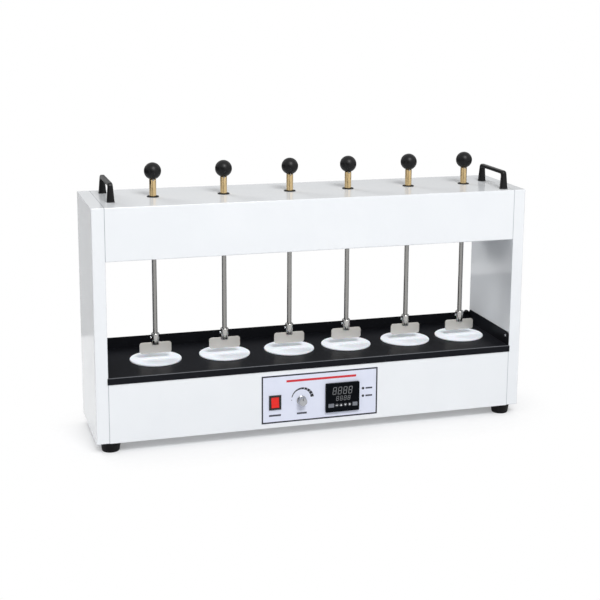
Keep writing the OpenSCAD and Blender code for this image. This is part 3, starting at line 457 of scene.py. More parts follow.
def ball(k, x):
    """A sphere of profile (R w cos t, R sin t), from its flat underside to the pole.

    w = 1 - depth exp(-(t / width)^2) cuts a fine mould line round its middle.
    """
    centre = KNOB_HIGH - BALL_R
    seat_r = np.sqrt(BALL_R**2 - (KNOB_LOW - centre) ** 2)
    start = np.degrees(np.arcsin((KNOB_LOW - centre) / BALL_R))
    t = np.radians(np.linspace(start, NEAR_POLE, 44))
    line = 1 - LINE_DEPTH * np.exp(-((t / LINE_WIDTH) ** 2))
    profile = [(seat_r - 0.6 * MM, KNOB_LOW)]
    profile += [(BALL_R * np.cos(a) * w, centre + BALL_R * np.sin(a)) for a, w in zip(t, line)]
    piece = turned(f"ball_knob_{k}", profile, (x, 0, 0), sides=72)
    return dress(piece, ball_black, f"stirrer_{k}", [f"knob_{k}"])


def hex_radius(across_flats, sides):
    """Radius of a hexagon at even angles: half the flats over cos of the angle from the middle of a flat."""
    angle = np.arange(sides) * TURN / sides
    return across_flats / 2 / np.cos((angle + TURN / 12) % (TURN / 6) - TURN / 12)


def socket_screw(name, at, axis, sense, sizes, domed=True):
    """A screw turned about its axis: shank, domed or flat head, and a six-sided socket sunk in its face.

    sense is +1 or -1, the way the head faces; heights count from the head's seat. A dome is part of a
    sphere of radius (r^2 + h^2) / 2h.
    """
    head_r, head_h, shank_r, length, socket = sizes
    sides = 48
    tip = 0.4 * shank_r
    profile = [(shank_r - tip, -length), (shank_r, -length + tip), (shank_r, 0), (head_r, 0)]
    if domed:
        sphere = (head_r**2 + head_h**2) / (2 * head_h)
        rim = np.linspace(head_r, socket * 0.72, 9)[1:]
        profile += [(r, head_h - sphere + np.sqrt(sphere**2 - r**2)) for r in rim]
        face = profile[-1][1]
    else:
        profile += [(head_r, head_h * 0.75), (head_r - head_h * 0.25, head_h)]
        face = head_h
    profile += [(hex_radius(socket, sides), face), (hex_radius(socket, sides), face - 0.55 * head_h)]
    return turned(name, [(r, sense * h) for r, h in profile], at, axis, sides)


def round_bar(name, r, low, high, chamfer, at, axis="z", sides=48):
    """A plain bar with a chamfer at both ends."""
    profile = [(r - chamfer, low), (r, low + chamfer), (r, high - chamfer), (r - chamfer, high)]
    return turned(name, profile, at, axis, sides)


def stirrer(k, x):
    """Ground rod, turned hub with a rounded shoulder, rounded blade, set screw and drive pin."""
    body = f"stirrer_{k}"
    node = [f"stirrer_{k}"]
    blade_top = STIRRER_LOW + BLADE_H
    hub_low = blade_top - HUB_GRIP
    hub_top = hub_low + HUB_H
    rod_low = blade_top + ROD_SEAT
    rod = round_bar(f"rod_{k}", ROD_R, rod_low, STIRRER_HIGH, 0.4 * MM, (x, 0, 0))
    dress(rod, ground_rod, body, node)
    foot_r, bore_r = 0.6 * MM, ROD_R - 0.2 * MM
    foot = arc((HUB_SLEEVE_R - foot_r, hub_low + foot_r), foot_r, -90, 0, 4)
    step = HUB_R - HUB_SLEEVE_R
    ledge = [(HUB_SLEEVE_R, hub_low + HUB_SLEEVE_H - step), (HUB_R, hub_low + HUB_SLEEVE_H)]
    shoulder = arc((HUB_R - HUB_SHOULDER, hub_top - HUB_SHOULDER), HUB_SHOULDER, 0, 80, 7)
    bore = [(bore_r, hub_top), (bore_r, rod_low + 1 * MM)]
    profile = [(foot[0][0] - 0.5 * MM, hub_low), *foot, *ledge, *shoulder, *bore]
    hub = turned(f"hub_{k}", profile, (x, 0, 0), sides=56)
    dress(hub, turned_hub, body, node)
    outline = rounded((x - BLADE_W / 2, STIRRER_LOW), (x + BLADE_W / 2, blade_top), BLADE_CORNER, 7)
    blade = soften(slab(f"blade_{k}", [outline], -BLADE_T / 2, BLADE_T / 2), 0.45 * MM)
    dress(blade, blasted_blade, body, node)
    place = (x - HUB_R, 0, rod_low + SET_SCREW_RISE)
    screw = socket_screw(f"set_screw_{k}", place, "x", -1, SET_SCREW, False)
    dress(screw, bright_screw, body, node)
    pin_at = (x, 0, TUBE_TOP - PIN_DROP)
    pin = round_bar(f"drive_pin_{k}", PIN_R, -PIN_REACH, PIN_REACH, 0.3 * MM, pin_at, "y", 24)
    dress(pin, bright_screw, body, node)


for k, x in enumerate(STATIONS, 1):
    ball(k, x)
    stirrer(k, x)

# ---- Grommets and jar discs

GROMMET_BORE_R, GROMMET_FLANGE_R, GROMMET_NECK_R, GROMMET_LIP_R = 7.2 * MM, 12 * MM, 9 * MM, 11 * MM
GROMMET_T = 1.5 * MM
DISC_LOW, DISC_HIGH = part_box("jar_discs")[0][2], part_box("jar_discs")[1][2]
DISC_R, DISC_RIM = (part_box("jar_discs")[1][1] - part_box("jar_discs")[0][1]) / 2, 1.4 * MM


def grommet(k, x):
    """A ring whose section is a rounded flange on the cover, a neck through it and a rounded lip below."""
    top, under = TOP_Z + GROMMET_T, TOP_Z - SHEET
    edge = 0.7 * MM
    section = [
        (GROMMET_BORE_R + 0.3 * MM, top),
        *arc((GROMMET_FLANGE_R - edge, top - edge), edge, 90, 0, 5),
        (GROMMET_FLANGE_R, TOP_Z),
        (GROMMET_NECK_R, TOP_Z),
        (GROMMET_NECK_R, under),
        (GROMMET_LIP_R, under),
        (GROMMET_LIP_R - 0.4 * MM, under - GROMMET_T),
        (GROMMET_BORE_R, under - GROMMET_T),
        (GROMMET_BORE_R, top - 0.3 * MM),
    ]
    piece = turned(f"grommet_{k}", section, (x, 0, 0), sides=64, ring_loop=True)
    return dress(piece, rubber_black, "root", ["shaft_grommets"])


def jar_disc(k, x):
    """A flat disc with a rounded upper rim and a small lower chamfer."""
    r, foot = DISC_R, 0.5 * MM
    rim = arc((r - DISC_RIM, DISC_HIGH - DISC_RIM), DISC_RIM, 0, 90, 7)
    profile = [(r - 3 * foot, DISC_LOW), (r - foot, DISC_LOW), (r, DISC_LOW + foot), *rim]
    profile.append((r - DISC_RIM - 1 * MM, DISC_HIGH))
    piece = turned(f"jar_disc_{k}", profile, (x, 0, 0), sides=128)
    return dress(piece, disc_white, "root", ["jar_discs"])


for k, x in enumerate(STATIONS, 1):
    grommet(k, x)
    jar_disc(k, x)

# ---- Handles and feet

HANDLE = {"leg": 12 * MM, "bar": 8 * MM, "lean": 2 * MM, "taper": 3 * MM, "shoulder": 7 * MM,
          "gusset": 5 * MM}
HANDLE_EDGE = 2.6 * MM
# The legs draw in by this much over this height above their feet, by the two shares on the way
HANDLE_FLARE, HANDLE_FLARE_H, FLARE_SHARES = 0.5 * MM, 3.5 * MM, (0.55, 0.9)


def handle(side):
    """A bridge as a stack of rounded rectangles, each spanning the inner to the outer edge of its side view.

    Both edges run up a leg, round a quarter circle at the shoulder and along the bar at one shared pace,
    then back. A point lies u from the middle between the edges and v from the handle's plane; both are
    half widths less the rounding, and the one across the plane narrows evenly from foot to top.
    """
    low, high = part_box(f"{side}_handle")
    x, y0, z0, z1 = (low[0] + high[0]) / 2, low[1], low[2], high[2]
    half_w, half_span = (high[0] - low[0]) / 2, (high[1] - low[1]) / 2
    outer_r, inner_r = HANDLE["shoulder"], HANDLE["gusset"]
    outer_x, inner_x = y0 + HANDLE["lean"], y0 + HANDLE["leg"]
    outer_z, inner_z = z1 - outer_r, z1 - HANDLE["bar"] - inner_r
    rise = np.array((0, 1, 2, 3)) * HANDLE_FLARE_H / 3
    outer = [(y0 + HANDLE["lean"] * h / (outer_z - z0), z0 + h) for h in rise] + arc(
        (outer_x + outer_r, outer_z), outer_r, 180, 90, 9)
    inner = [(inner_x, z0 + h) for h in rise] + arc((inner_x + inner_r, inner_z), inner_r, 180, 90, 9)
    mirrored = [[(2 * (y0 + half_span) - y, z) for y, z in reversed(edge)] for edge in (outer, inner)]
    outer, inner = np.array(outer + mirrored[0]), np.array(inner + mirrored[1])
    count = len(outer)
    flare = np.zeros(count)
    flare[[1, 2]] = flare[[-2, -3]] = HANDLE_FLARE * np.array(FLARE_SHARES)
    flare[3:-3] = HANDLE_FLARE
    reach = np.linalg.norm(outer - inner, axis=1) / 2 - flare
    unit = (outer - inner) / np.linalg.norm(outer - inner, axis=1)[:, None]
    centre = (outer + inner) / 2
    corner = np.array(rounded((-1, -1), (1, 1), 0.5, 6))
    signs, bend = np.sign(corner), (np.abs(corner) - 0.5) / 0.5
    u = signs[:, 0] * (reach[:, None] - HANDLE_EDGE * (1 - bend[:, 0]))
    flat = centre[:, None, :] + u[..., None] * unit[:, None, :]
    width = half_w - HANDLE["taper"] * (flat[..., 1] - z0) / (z1 - z0) - flare[:, None]
    v = signs[:, 1] * (width - HANDLE_EDGE * (1 - bend[:, 1]))
    rings = np.stack([x + v, flat[..., 0], flat[..., 1]], -1)
    bridge = lofted(f"{side}_carry_handle", rings)
    return dress(bridge, nylon_black, "root", [f"{side}_handle"])


handle("left")
handle("right")

FEET_LOW, FEET_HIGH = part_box("feet")
FOOT_R, FOOT_BASE_R, FOOT_H, FOOT_RIM = 21 * MM, 17.5 * MM, FEET_HIGH[2], 2.5 * MM
FOOT_SINK_R, FOOT_SINK_H = 7 * MM, 8 * MM
FOOT_X = (FEET_LOW[0] + FOOT_R, FEET_HIGH[0] - FOOT_R)
FOOT_Y = (FEET_LOW[1] + FOOT_R, FEET_HIGH[1] - FOOT_R)


def foot(k, x, y):
    """A turned rubber foot: sunk screw hole, rounded tread, tapered side and a small rim at the top."""
    lip = 1 * MM
    profile = [
        (FOOT_SINK_R, FOOT_SINK_H),
        (FOOT_SINK_R, 0.5 * MM),
        (FOOT_SINK_R + 0.5 * MM, 0),
        *arc((FOOT_BASE_R - FOOT_RIM, FOOT_RIM), FOOT_RIM, -90, 0, 6),
        (FOOT_R - 1.2 * MM, FOOT_H - 3 * MM),
        *arc((FOOT_R - lip, FOOT_H - 2 * lip), lip, 0, 60, 4),
        (FOOT_R - 0.6 * MM, FOOT_H),
    ]
    piece = turned(f"foot_{k}", profile, (x, y, 0), sides=72)
    dress(piece, rubber_black, "root", ["feet"])
    screw = socket_screw(f"foot_screw_{k}", (x, y, FOOT_SINK_H), "z", -1, FOOT_SCREW)
    dress(screw, bright_screw, "root", ["screws"])


for k, (x, y) in enumerate([(x, y) for x in FOOT_X for y in FOOT_Y], 1):
    foot(k, x, y)

# ---- Fasteners that are not in the feet

# Each nut's height, width across its flats and bore radius
REAR_NUT = (4 * MM, 8.7 * MM, 2.52 * MM)
END_NUT = (3.2 * MM, 7 * MM, 2.02 * MM)
# How far the rear screws stand in from the liners and above the shelf, and the end screws back and above
REAR_IN, REAR_UP, END_BACK, END_UP = 9 * MM, 21 * MM, 15 * MM, 18 * MM


def hex_nut(name, at, axis, seat, sense, sizes):
    """A six-sided ring that stands on a seat along its axis, with a round bore."""
    tall, across, bore_r = sizes
    low, high = seat, seat + sense * tall
    sides = 48
    outer = hex_radius(across, sides)
    edge = 0.35 * MM
    section = [(bore_r, low), (outer - edge, low), (outer, low + edge),
               (outer, high - edge), (outer - edge, high), (bore_r, high)]
    nut = turned(name, section, at, axis, sides, True)
    return dress(nut, bright_screw, "root", ["screws"])


for k, side in enumerate((-1, 1), 1):
    rear = (side * (INNER_X - REAR_IN), BACK_Y - 2 * SHEET, SHELF_Z + REAR_UP)
    dome = socket_screw(f"rear_dome_screw_{k}", rear, "y", -1, REAR_SCREW)
    dress(dome, nylon_black, "root", ["screws"])
    hex_nut(f"rear_nut_{k}", rear, "y", 2 * SHEET, 1, REAR_NUT)
    end = (side * (INNER_X - SEAM - SHEET), FRONT_Y + END_BACK, SHELF_Z + END_UP)
    bolt = socket_screw(f"end_screw_{k}", end, "x", -side, END_SCREW)
    dress(bolt, bright_screw, "root", ["screws"])
    hex_nut(f"end_nut_{k}", end, "x", side * (2 * SHEET + SEAM), side, END_NUT)
    low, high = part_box(("left_handle", "right_handle")[k - 1])
    for leg, y in enumerate((low[1] + HANDLE["leg"] / 2, high[1] - HANDLE["leg"] / 2), 1):
        place = ((low[0] + high[0]) / 2, y, TOP_Z - SHEET)
        stud = socket_screw(f"handle_screw_{k}_{leg}", place, "z", -1, HANDLE_SCREW)
        dress(stud, bright_screw, "root", ["screws"])

# ---- Control panel: prints on the label

# A print stands this proud of its face, and reaches this far into it so that no gap shows
INK_T, INK_ROOT = 0.12 * MM, 0.2 * MM
BORDER, BORDER_INSET, BORDER_CORNERS = 3 * MM, 0.3 * MM, (0.6 * MM, 0.4 * MM)


def printed(name, outlines, material, face_y=LABEL_Y, body="root"):
    """Screen-printed patches: outlines in X and Z, slightly raised from the face under them."""
    return dress(slab(name, outlines, face_y - INK_T, face_y + INK_ROOT), material, body)


def band(centre, r, start, end, thick_start, thick_end, steps=5):
    """A stretch of a ring from one angle to another, its thickness growing evenly about the radius r."""
    t = np.linspace(0, 1, steps)
    a = np.radians(start + (end - start) * t)
    half = (thick_start + (thick_end - thick_start) * t) / 2
    edges = [[(centre[0] + q * np.cos(b), centre[1] + q * np.sin(b)) for q, b in zip(r + sign * half, a)]
             for sign in (1, -1)]
    return edges[0] + edges[1][::-1]


low = (LABEL_LOW[0] + BORDER_INSET, LABEL_LOW[2] + BORDER_INSET)
high = (LABEL_HIGH[0] - BORDER_INSET, LABEL_HIGH[2] - BORDER_INSET)
outer = rounded(low, high, BORDER_CORNERS[0])
inner_low = (low[0] + BORDER, low[1] + BORDER)
inner_high = (high[0] - BORDER, high[1] - BORDER)
inner = rounded(inner_low, inner_high, BORDER_CORNERS[1])
border = ring_slab("label_border", outer, inner, LABEL_Y - INK_T, LABEL_Y + INK_ROOT)
dress(border, ink_dark, "root")

# Speed scale: a dot, then a band in short stretches that thickens clockwise round the knob. Its thickness is
# thin + growth share^1.1, and the gaps between its stretches, in degrees, are narrow at first and then wide.
SCALE_AT = (KNOB_X + 1.2 * MM, CONTROLS_Z + 3.2 * MM)
SCALE_R = 21.8 * MM
SCALE_THIN, SCALE_GROWTH = 1.5 * MM, 5.6 * MM
SCALE_STEPS, NARROW_STEPS = 9, 4
SCALE_START, SCALE_END = 168, 4
NARROW_GAP, WIDE_GAP = 0.8, 2.2
DOT_R, DOT_DROP = 0.8 * MM, 1.5 * MM
stretch = (SCALE_END - SCALE_START) / SCALE_STEPS
stretches = []
for k in range(SCALE_STEPS):
    start = SCALE_START + k * stretch
    gap = NARROW_GAP if k < NARROW_STEPS else WIDE_GAP
    thick = [SCALE_THIN + SCALE_GROWTH * (n / SCALE_STEPS) ** 1.1 for n in (k, k + 1)]
    stretches.append(band(SCALE_AT, SCALE_R, start, start + stretch + gap, *thick))
dot_at = (SCALE_AT[0] - SCALE_R, SCALE_AT[1] - DOT_DROP)
printed("speed_scale", [arc(dot_at, DOT_R, 0, 337.5, 16), *stretches], ink_dark)

# Plain bars where the panel is titled and captioned: ends in X, middle in Z and thickness


def bar(start, end, z, thick):
    """Outline of a level bar."""
    return box_outline(start, z - thick / 2, end, z + thick / 2)


TITLE_X, TITLE_Z, TITLE_T = (-66.9 * MM, 82 * MM), CONTROLS_Z + 42.6 * MM, 4.6 * MM
CAPTION_Z, CAPTION_T = CONTROLS_Z - 27.5 * MM, 3.8 * MM
CAPTIONS = ((SWITCH_X, 25 * MM), (KNOB_X + 1 * MM, 21 * MM))
MARK_X, MARK_R = METER_X + 45.5 * MM, 2.8 * MM
MARK_BAR, MARK_T = (METER_X + 51 * MM, METER_X + 65.5 * MM), 3.5 * MM
MARK_Z = (CONTROLS_Z + 13.6 * MM, CONTROLS_Z - 2.6 * MM)
printed("title_bar", [bar(*TITLE_X, TITLE_Z, TITLE_T)], ink_red)
captions = [bar(x - wide / 2, x + wide / 2, CAPTION_Z, CAPTION_T) for x, wide in CAPTIONS]
printed("control_captions", captions, ink_soft)
printed("reading_dots", [arc((MARK_X, z), MARK_R, 0, 330, 12) for z in MARK_Z], ink_dark)
printed("reading_bars", [bar(*MARK_BAR, z, MARK_T) for z in MARK_Z], ink_soft)

# ---- Meter: seven-bar digits on the window's face, ribbed pads and the marks on the keys

METER_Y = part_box("meter_case")[0][1]
WINDOW_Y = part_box("meter_window")[0][1]
DIGIT_T = 0.04 * MM
# Digits lean by the first share of their height, and gaps of the second share of a stroke part their bars
SLANT, BAR_GAP = 0.13, 0.14
UPPER = {"x": METER_X - 22.5 * MM, "z": CONTROLS_Z + 6.6 * MM, "pitch": 11.3 * MM,
         "wide": 8 * MM, "tall": 16 * MM, "stroke": 1.5 * MM}
LOWER = {"x": METER_X - 14.6 * MM, "z": CONTROLS_Z - 6.8 * MM, "pitch": 8.2 * MM,
         "wide": 5.6 * MM, "tall": 10 * MM, "stroke": 1.1 * MM}


def digit(x, z, wide, tall, stroke):
    """Outlines of a digit's seven bars, each point moved right by slant times height."""
    gap = stroke * BAR_GAP
    half = (tall - stroke) / 2
    left_end, right_end = x + stroke / 2 + gap, x + wide - stroke / 2 - gap
    bars = [(left_end, z + n * half, right_end, z + n * half + stroke) for n in range(3)]
    for left in (x, x + wide - stroke):
        for row in range(2):
            foot_z = z + stroke / 2 + row * half + gap
            bars.append((left, foot_z, left + stroke, foot_z + half - 2 * gap))
    return [[(px + SLANT * (pz - z), pz) for px, pz in box_outline(*edges)] for edges in bars]


for name, row in (("upper_digits", UPPER), ("lower_digits", LOWER)):
    bars = []
    for n in range(4):
        bars += digit(row["x"] + n * row["pitch"], row["z"], row["wide"], row["tall"], row["stroke"])
    piece = slab(name, bars, WINDOW_Y - DIGIT_T, WINDOW_Y + INK_ROOT)
    dress(piece, digit_grey, "root")

PAD_Z = (CONTROLS_Z - 20.3 * MM, CONTROLS_Z - 12.2 * MM)
RIB_W, RIB_PITCH = 1.35 * MM, 1.75 * MM
for name, start, ribs in (("left_pad", METER_X - 30.6 * MM, 7), ("right_pad", METER_X + 21.6 * MM, 6)):
    lefts = [start + n * RIB_PITCH for n in range(ribs)]
    outlines = [box_outline(left, PAD_Z[0], left + RIB_W, PAD_Z[1]) for left in lefts]
    printed(f"meter_{name}", outlines, ink_grey, METER_Y)

KEY_MARK, KEY_MARK_SINK = 2.4 * MM, 0.02 * MM


def key_marks(k, x, z):
    """Outline of one key's mark about its middle: a stroke, an arrow up, an arrow down or a dot."""
    s = KEY_MARK
    if k == 1:
        return [box_outline(x - s, z - 0.28 * s, x + s, z + 0.28 * s)]
    if k == 4:
        return [arc((x, z), 0.75 * s, 0, 330, 12)]
    way = 1 if k == 2 else -1
    return [[(x - s, z - 0.7 * way * s), (x + s, z - 0.7 * way * s), (x, z + 0.9 * way * s)]]


for k in range(1, 5):
    node = f"meter_key_{k}"
    marks = key_marks(k, middle(node, 0), middle(node, 2))
    printed(f"key_mark_{k}", marks, ink_white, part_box(node)[0][1] + KEY_MARK_SINK, node)

# ---- Rocker and speed knob

ROCKER_AXLE = (LABEL_Y + 1 * MM, CONTROLS_Z)
ROCKER_R, ROCKER_W = 11.25 * MM, 15.8 * MM
ROCKER_TILT = np.radians(-8)
ROCKER_FRONT, ROCKER_SLOPE, ROCKER_BACK = -2.6 * MM, 0.7 * MM, 4 * MM
ROCKER_HOLLOW = 0.7 * MM
ROCKER_TIP = np.sqrt(ROCKER_R**2 - (ROCKER_FRONT - ROCKER_SLOPE) ** 2)
ROCKER_MARK_T = 0.3 * MM


def tilted(points):
    """Turns (y, z) points about the rocker's axle by the tilt at which it rests."""
    y, z = np.asarray(points, dtype=float).T
    c, s = np.cos(ROCKER_TILT), np.sin(ROCKER_TILT)
    return np.stack([ROCKER_AXLE[0] + y * c - z * s, ROCKER_AXLE[1] + y * s + z * c], -1)


def rocker_front(t):
    """The hollowed front at a share t of the way to a tip: y = front - slope t + depth sin(pi t)^1.5."""
    return ROCKER_FRONT - ROCKER_SLOPE * t + ROCKER_HOLLOW * np.sin(np.pi * t) ** 1.5


def rocker():
    """The paddle: a side view with a round back and two shallow hollows in front, drawn out along X."""
    t = np.linspace(0, 1, 13)
    upper = list(zip(rocker_front(t), ROCKER_TIP * t))
    outline = [(y, -z) for y, z in reversed(upper[1:])] + upper
    start = np.degrees(np.arctan2(ROCKER_TIP, ROCKER_FRONT - ROCKER_SLOPE))
    end = np.degrees(np.arctan2(np.sqrt(ROCKER_R**2 - ROCKER_BACK**2), ROCKER_BACK))
    outline += arc((0, 0), ROCKER_R, start, end, 8)[1:]
    outline += arc((0, 0), ROCKER_R, -end, -start, 8)[:-1]
    piece = slab("rocker_paddle", [tilted(outline)], SWITCH_X - ROCKER_W / 2, SWITCH_X + ROCKER_W / 2, "x")
    dress(soften(piece, 0.5 * MM), rocker_red, "switch_rocker", ["switch_rocker"])


def rocker_mark(name, outer, inner):
    """A raised mark on the rocker: a ring between two outlines in (x, z), laid on its hollowed face."""
    loops = []
    for sense, outline in ((-1, outer), (1, outer), (1, inner), (-1, inner)):
        x, z = np.asarray(outline, dtype=float).T
        y = rocker_front(np.abs(z) / ROCKER_TIP) - sense * ROCKER_MARK_T
        flat = tilted(np.stack([y, z], -1))
        loops.append(np.stack([SWITCH_X + x, flat[:, 0], flat[:, 1]], -1))
    piece = lofted(name, np.stack(loops), True)
    dress(piece, rocker_red, "switch_rocker", ["switch_rocker"])


# The rocker's two marks, off below its axle and on above it, by half height; widths are halves as well
MARK_AT, MARK_HALF = 6.3 * MM, 2.3 * MM
RING_BORE, BAR_HALF_W = 1.6 * MM, 0.45 * MM
CORE_HALF, CORE_HALF_W = 1.9 * MM, 0.08 * MM
rocker()
rocker_mark(
    "rocker_off_ring", arc((0, -MARK_AT), MARK_HALF, 0, 345, 24), arc((0, -MARK_AT), RING_BORE, 0, 345, 24)
)
rocker_mark(
    "rocker_on_bar",
    rounded((-BAR_HALF_W, MARK_AT - MARK_HALF), (BAR_HALF_W, MARK_AT + MARK_HALF), 0.3 * MM, 3),
    rounded((-CORE_HALF_W, MARK_AT - CORE_HALF), (CORE_HALF_W, MARK_AT + CORE_HALF), 0.06 * MM, 3),
)


KNOB_GRIP_R, KNOB_SKIRT_R, KNOB_FACE_R = 9 * MM, 10 * MM, 7.4 * MM
KNOB_HOLLOW_R, KNOB_SHAFT_R = 8 * MM, 3 * MM
FLUTES, FLUTE_DEPTH = 24, 0.4 * MM
# The pointer line's half width and the heights above the knob's axis where it starts and ends
LINE_HALF_W, LINE_FROM, LINE_TO = 0.5 * MM, 2.5 * MM, 8 * MM


def speed_knob():
    """Fluted grip between a dished face with a turned rim and a plain skirt, with a pointer line and a shaft.

    The grip's radius is R - depth (1 + cos(n a)) / 2 at angle a.
    """
    low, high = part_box("speed_knob")
    front, back = low[1], LABEL_Y - SEAM
    at = (KNOB_X, 0, CONTROLS_Z)
    sides = 144
    angle = np.arange(sides) * TURN / sides
    flutes = KNOB_GRIP_R - FLUTE_DEPTH * (1 + np.cos(FLUTES * angle)) / 2
    profile = [
        (0.8 * MM, front + 0.75 * MM), (KNOB_FACE_R * 0.5, front + 0.65 * MM),
        (KNOB_FACE_R, front + 0.35 * MM), (KNOB_FACE_R + 0.3 * MM, front), (8.3 * MM, front),
        (flutes - 0.2 * MM, front + 0.5 * MM), (flutes, front + 1 * MM), (flutes, back - 3.4 * MM),
        (flutes - 0.2 * MM, back - 3 * MM), (KNOB_SKIRT_R - 0.4 * MM, back - 2.5 * MM),
        (KNOB_SKIRT_R, back - 2.1 * MM), (KNOB_SKIRT_R, back), (KNOB_HOLLOW_R, back),
        (KNOB_HOLLOW_R, back - 4 * MM), (KNOB_SHAFT_R + 0.2 * MM, back - 4 * MM),
    ]
    cap = turned("speed_knob_cap", profile, at, "y", sides)
    dress(cap, knob_metal, "speed_knob", ["speed_knob"])
    line = box_outline(
        KNOB_X - LINE_HALF_W, CONTROLS_Z + LINE_FROM, KNOB_X + LINE_HALF_W, CONTROLS_Z + LINE_TO
    )
    pointer = slab("speed_knob_line", [line], front + 0.02 * MM, front + 1 * MM)
    dress(pointer, ink_dark, "speed_knob", ["speed_knob"])
    shaft = round_bar("speed_knob_shaft", KNOB_SHAFT_R, back - 4 * MM, high[1], 0.3 * MM, at, "y", 32)
    dress(shaft, bright_screw, "speed_knob", ["speed_knob"])


speed_knob()

# ---- Stage, camera and light

# The camera that fits the photograph: its place in millimetres, its turn in degrees and its lens
EYE = np.array((-763.551, -2536.719, 926.891)) * MM
YAW, PITCH, ROLL = np.radians((17.910, 11.557, 0.597))
FOCAL_MM = 78.36
SHIFT = (-0.05, -0.10)
BACKDROP_LIGHT = 0.32
# The floor turns to plain white as the share of free sky within this reach goes from shut to open, so its
# white glow fades near the case as a painted contact shadow
FLOOR_HALF, SHADOW_REACH = 30, 0.18
SHUT, OPEN, SHUT_WHITE = 0.3, 0.85, 0.25


def place_in_scene(name, data, right, up, back, at):
    """Links a camera or lamp whose axes and place are the columns of its matrix."""
    made = bpy.data.objects.new(name, data)
    bpy.context.scene.collection.objects.link(made)
    matrix = np.eye(4)
    matrix[:3, 0], matrix[:3, 1], matrix[:3, 2], matrix[:3, 3] = right, up, back, at
    made.matrix_world = matrix.T.tolist()
    return made


def camera():
    """Looks along (sin yaw cos pitch, cos yaw cos pitch, -sin pitch), turned about that line by the roll."""
    forward = np.array((np.sin(YAW) * np.cos(PITCH), np.cos(YAW) * np.cos(PITCH), -np.sin(PITCH)))
    level = np.cross(forward, (0, 0, 1))
    level /= np.linalg.norm(level)
    upright = np.cross(level, forward)
    lens = bpy.data.cameras.new("camera")
    lens.sensor_width = 36
    lens.lens = FOCAL_MM
    lens.shift_x, lens.shift_y = SHIFT
    lens.clip_end = 50
    right = np.cos(ROLL) * level + np.sin(ROLL) * upright
    up = np.cos(ROLL) * upright - np.sin(ROLL) * level
    bpy.context.scene.camera = place_in_scene("camera", lens, right, up, -forward, EYE)


def lamp(name, at, aim, width, height, watts, mirrored=True):
    """A soft rectangular lamp at a point, turned to face another, and kept out of mirror images if asked."""
    light = bpy.data.lights.new(name, "AREA")
    light.shape = "RECTANGLE"
    light.size, light.size_y, light.energy = width, height, watts
    back = np.array(at, dtype=float) - np.array(aim, dtype=float)
    back /= np.linalg.norm(back)
    side = np.cross((0, 0, 1), back)
    side /= np.linalg.norm(side)
    place_in_scene(name, light, side, np.cross(back, side), back, at).visible_glossy = mirrored


def flag(name, start, end, low, high, grey):
    """An upright card that only gloss can see, as set up beside polished metal to give it dark edges."""
    made = bpy.data.materials.new(name)
    made.use_nodes = True
    made.node_tree.nodes.clear()
    glow = add_node(made.node_tree, "Emission", {"Color": linear(grey), "Strength": 1.0})
    add_node(made.node_tree, "OutputMaterial", {"Surface": glow.outputs[0]})
    mesh = bpy.data.meshes.new(name)
    corners = [(*start, low), (*end, low), (*end, high), (*start, high)]
    mesh.from_pydata(corners, [], [(0, 1, 2, 3)])
    card = bpy.data.objects.new(name, mesh)
    bpy.context.scene.collection.objects.link(card)
    mesh.materials.append(made)
    card.visible_camera = card.visible_diffuse = card.visible_shadow = False
    card.visible_transmission = card.visible_volume_scatter = False


def shown_ray(tree):
    """1 for rays that show the backdrop: those from the camera, off gloss and through glass."""
    path = add_node(tree, "LightPath").outputs
    shown = path["Is Camera Ray"]
    for kind in ("Is Glossy Ray", "Is Transmission Ray"):
        shown = add_node(tree, "Math", {0: shown, 1: path[kind]}, operation="MAXIMUM").outputs[0]
    return shown


def backdrop():
    """White to the eye and in reflections, softer as a light."""
    world = bpy.data.worlds.new("backdrop")
    bpy.context.scene.world = world
    world.use_nodes = True
    tree = world.node_tree
    tree.nodes.clear()
    lit = add_node(tree, "Background", {"Color": linear("F6F7F9"), "Strength": BACKDROP_LIGHT})
    seen = add_node(tree, "Background", {"Color": linear("FFFFFF"), "Strength": 1.0})
    blend = add_node(tree, "MixShader", {0: shown_ray(tree), 1: lit.outputs[0], 2: seen.outputs[0]})
    add_node(tree, "OutputWorld", {"Surface": blend.outputs[0]})


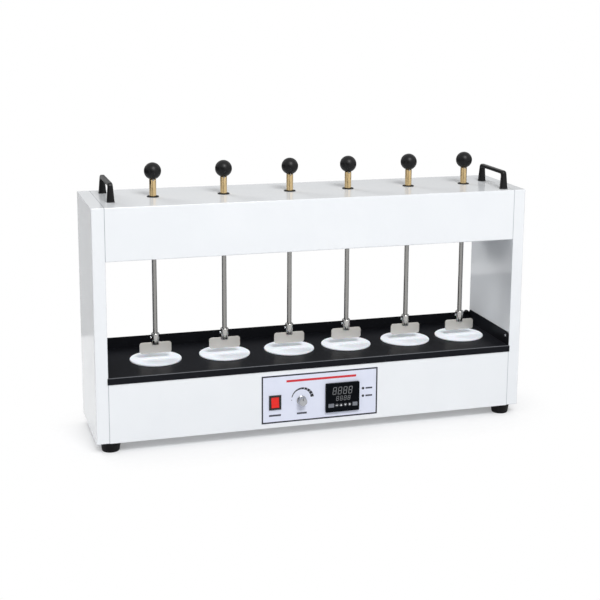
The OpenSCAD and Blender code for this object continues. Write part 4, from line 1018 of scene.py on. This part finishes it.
def floor():
    """A sheet of white paper: lit near the case, where it keeps the real shadow and adds painted shade as its
    white glow fades with occlusion, and plain white in the open.
    """
    made = bpy.data.materials.new("white_paper_floor")
    made.use_nodes = True
    tree = made.node_tree
    tree.nodes.clear()
    paper = add_node(tree, "BsdfDiffuse", {"Color": linear("F2F3F5")})
    plain = add_node(tree, "Emission", {"Color": linear("FFFFFF"), "Strength": 1.0})
    sky = add_node(tree, "AmbientOcclusion", {"Distance": SHADOW_REACH}, samples=8, only_local=False)
    openness = sky.outputs["AO"]
    white = add_node(tree, "MapRange", {0: openness, 1: SHUT, 2: OPEN, 3: SHUT_WHITE, 4: 1.0}).outputs[0]
    share = add_node(tree, "Math", {0: shown_ray(tree), 1: white}, operation="MULTIPLY")
    blend = add_node(tree, "MixShader", {0: share.outputs[0], 1: paper.outputs[0], 2: plain.outputs[0]})
    add_node(tree, "OutputMaterial", {"Surface": blend.outputs[0]})
    mesh = bpy.data.meshes.new("floor")
    corners = [(x * FLOOR_HALF, y * FLOOR_HALF, 0) for x, y in ((-1, -1), (1, -1), (1, 1), (-1, 1))]
    mesh.from_pydata(corners, [], [(0, 1, 2, 3)])
    mesh.materials.append(made)
    sheet = bpy.data.objects.new("floor", mesh)
    bpy.context.scene.collection.objects.link(sheet)


camera()
backdrop()
floor()
# Each card's two ends, the heights between which it stands, and its tone. The dark ones give polished metal
# its edges, and the grey ones tone down the case's top and side.
BENCH, DARK = 0.001, "141414"
FLAGS = {
    "back_flag": ((-0.5, 1.3), (3, 1.3), BENCH, 0.63, DARK),
    "upper_back_flag": ((-0.5, 1.3), (3, 1.3), 0.63, 0.95, "C0C0C0"),
    "back_left_flag": ((-1.7, 1.3), (-0.85, 1.3), BENCH, 0.9, DARK),
    "left_flag": ((-1.7, -0.6), (-1.7, 1.3), BENCH, 0.9, DARK),
    "right_flag": ((2.0, -0.1), (2.0, 1.3), BENCH, 0.9, DARK),
    "front_flag": ((-3.5, -3.2), (-0.4, -3.2), BENCH, 2.4, DARK),
    "low_back_flag": ((-0.42, 0.35), (1.1, 0.35), BENCH, 0.2, DARK),
    "low_left_flag": ((-1.0, 0.35), (-0.56, 0.35), BENCH, 0.2, DARK),
    "low_right_flag": ((1.0, -0.2), (1.0, 0.35), BENCH, 0.2, DARK),
    "grey_flag": ((-0.85, 0.75), (-0.42, 0.75), BENCH, 0.42, "CCCCCC"),
}
for name, settings in FLAGS.items():
    flag(name, *settings)
lamp("key_lamp", (0.15, -2.9, 3.4), (0, 0, 0.35), 1.6, 1.6, 130)
lamp("rear_lamp", (-0.9, 1.5, 1.3), (0.1, 0, 0.25), 1.0, 0.8, 20, False)
bpy.context.scene.view_settings.view_transform = "Standard"
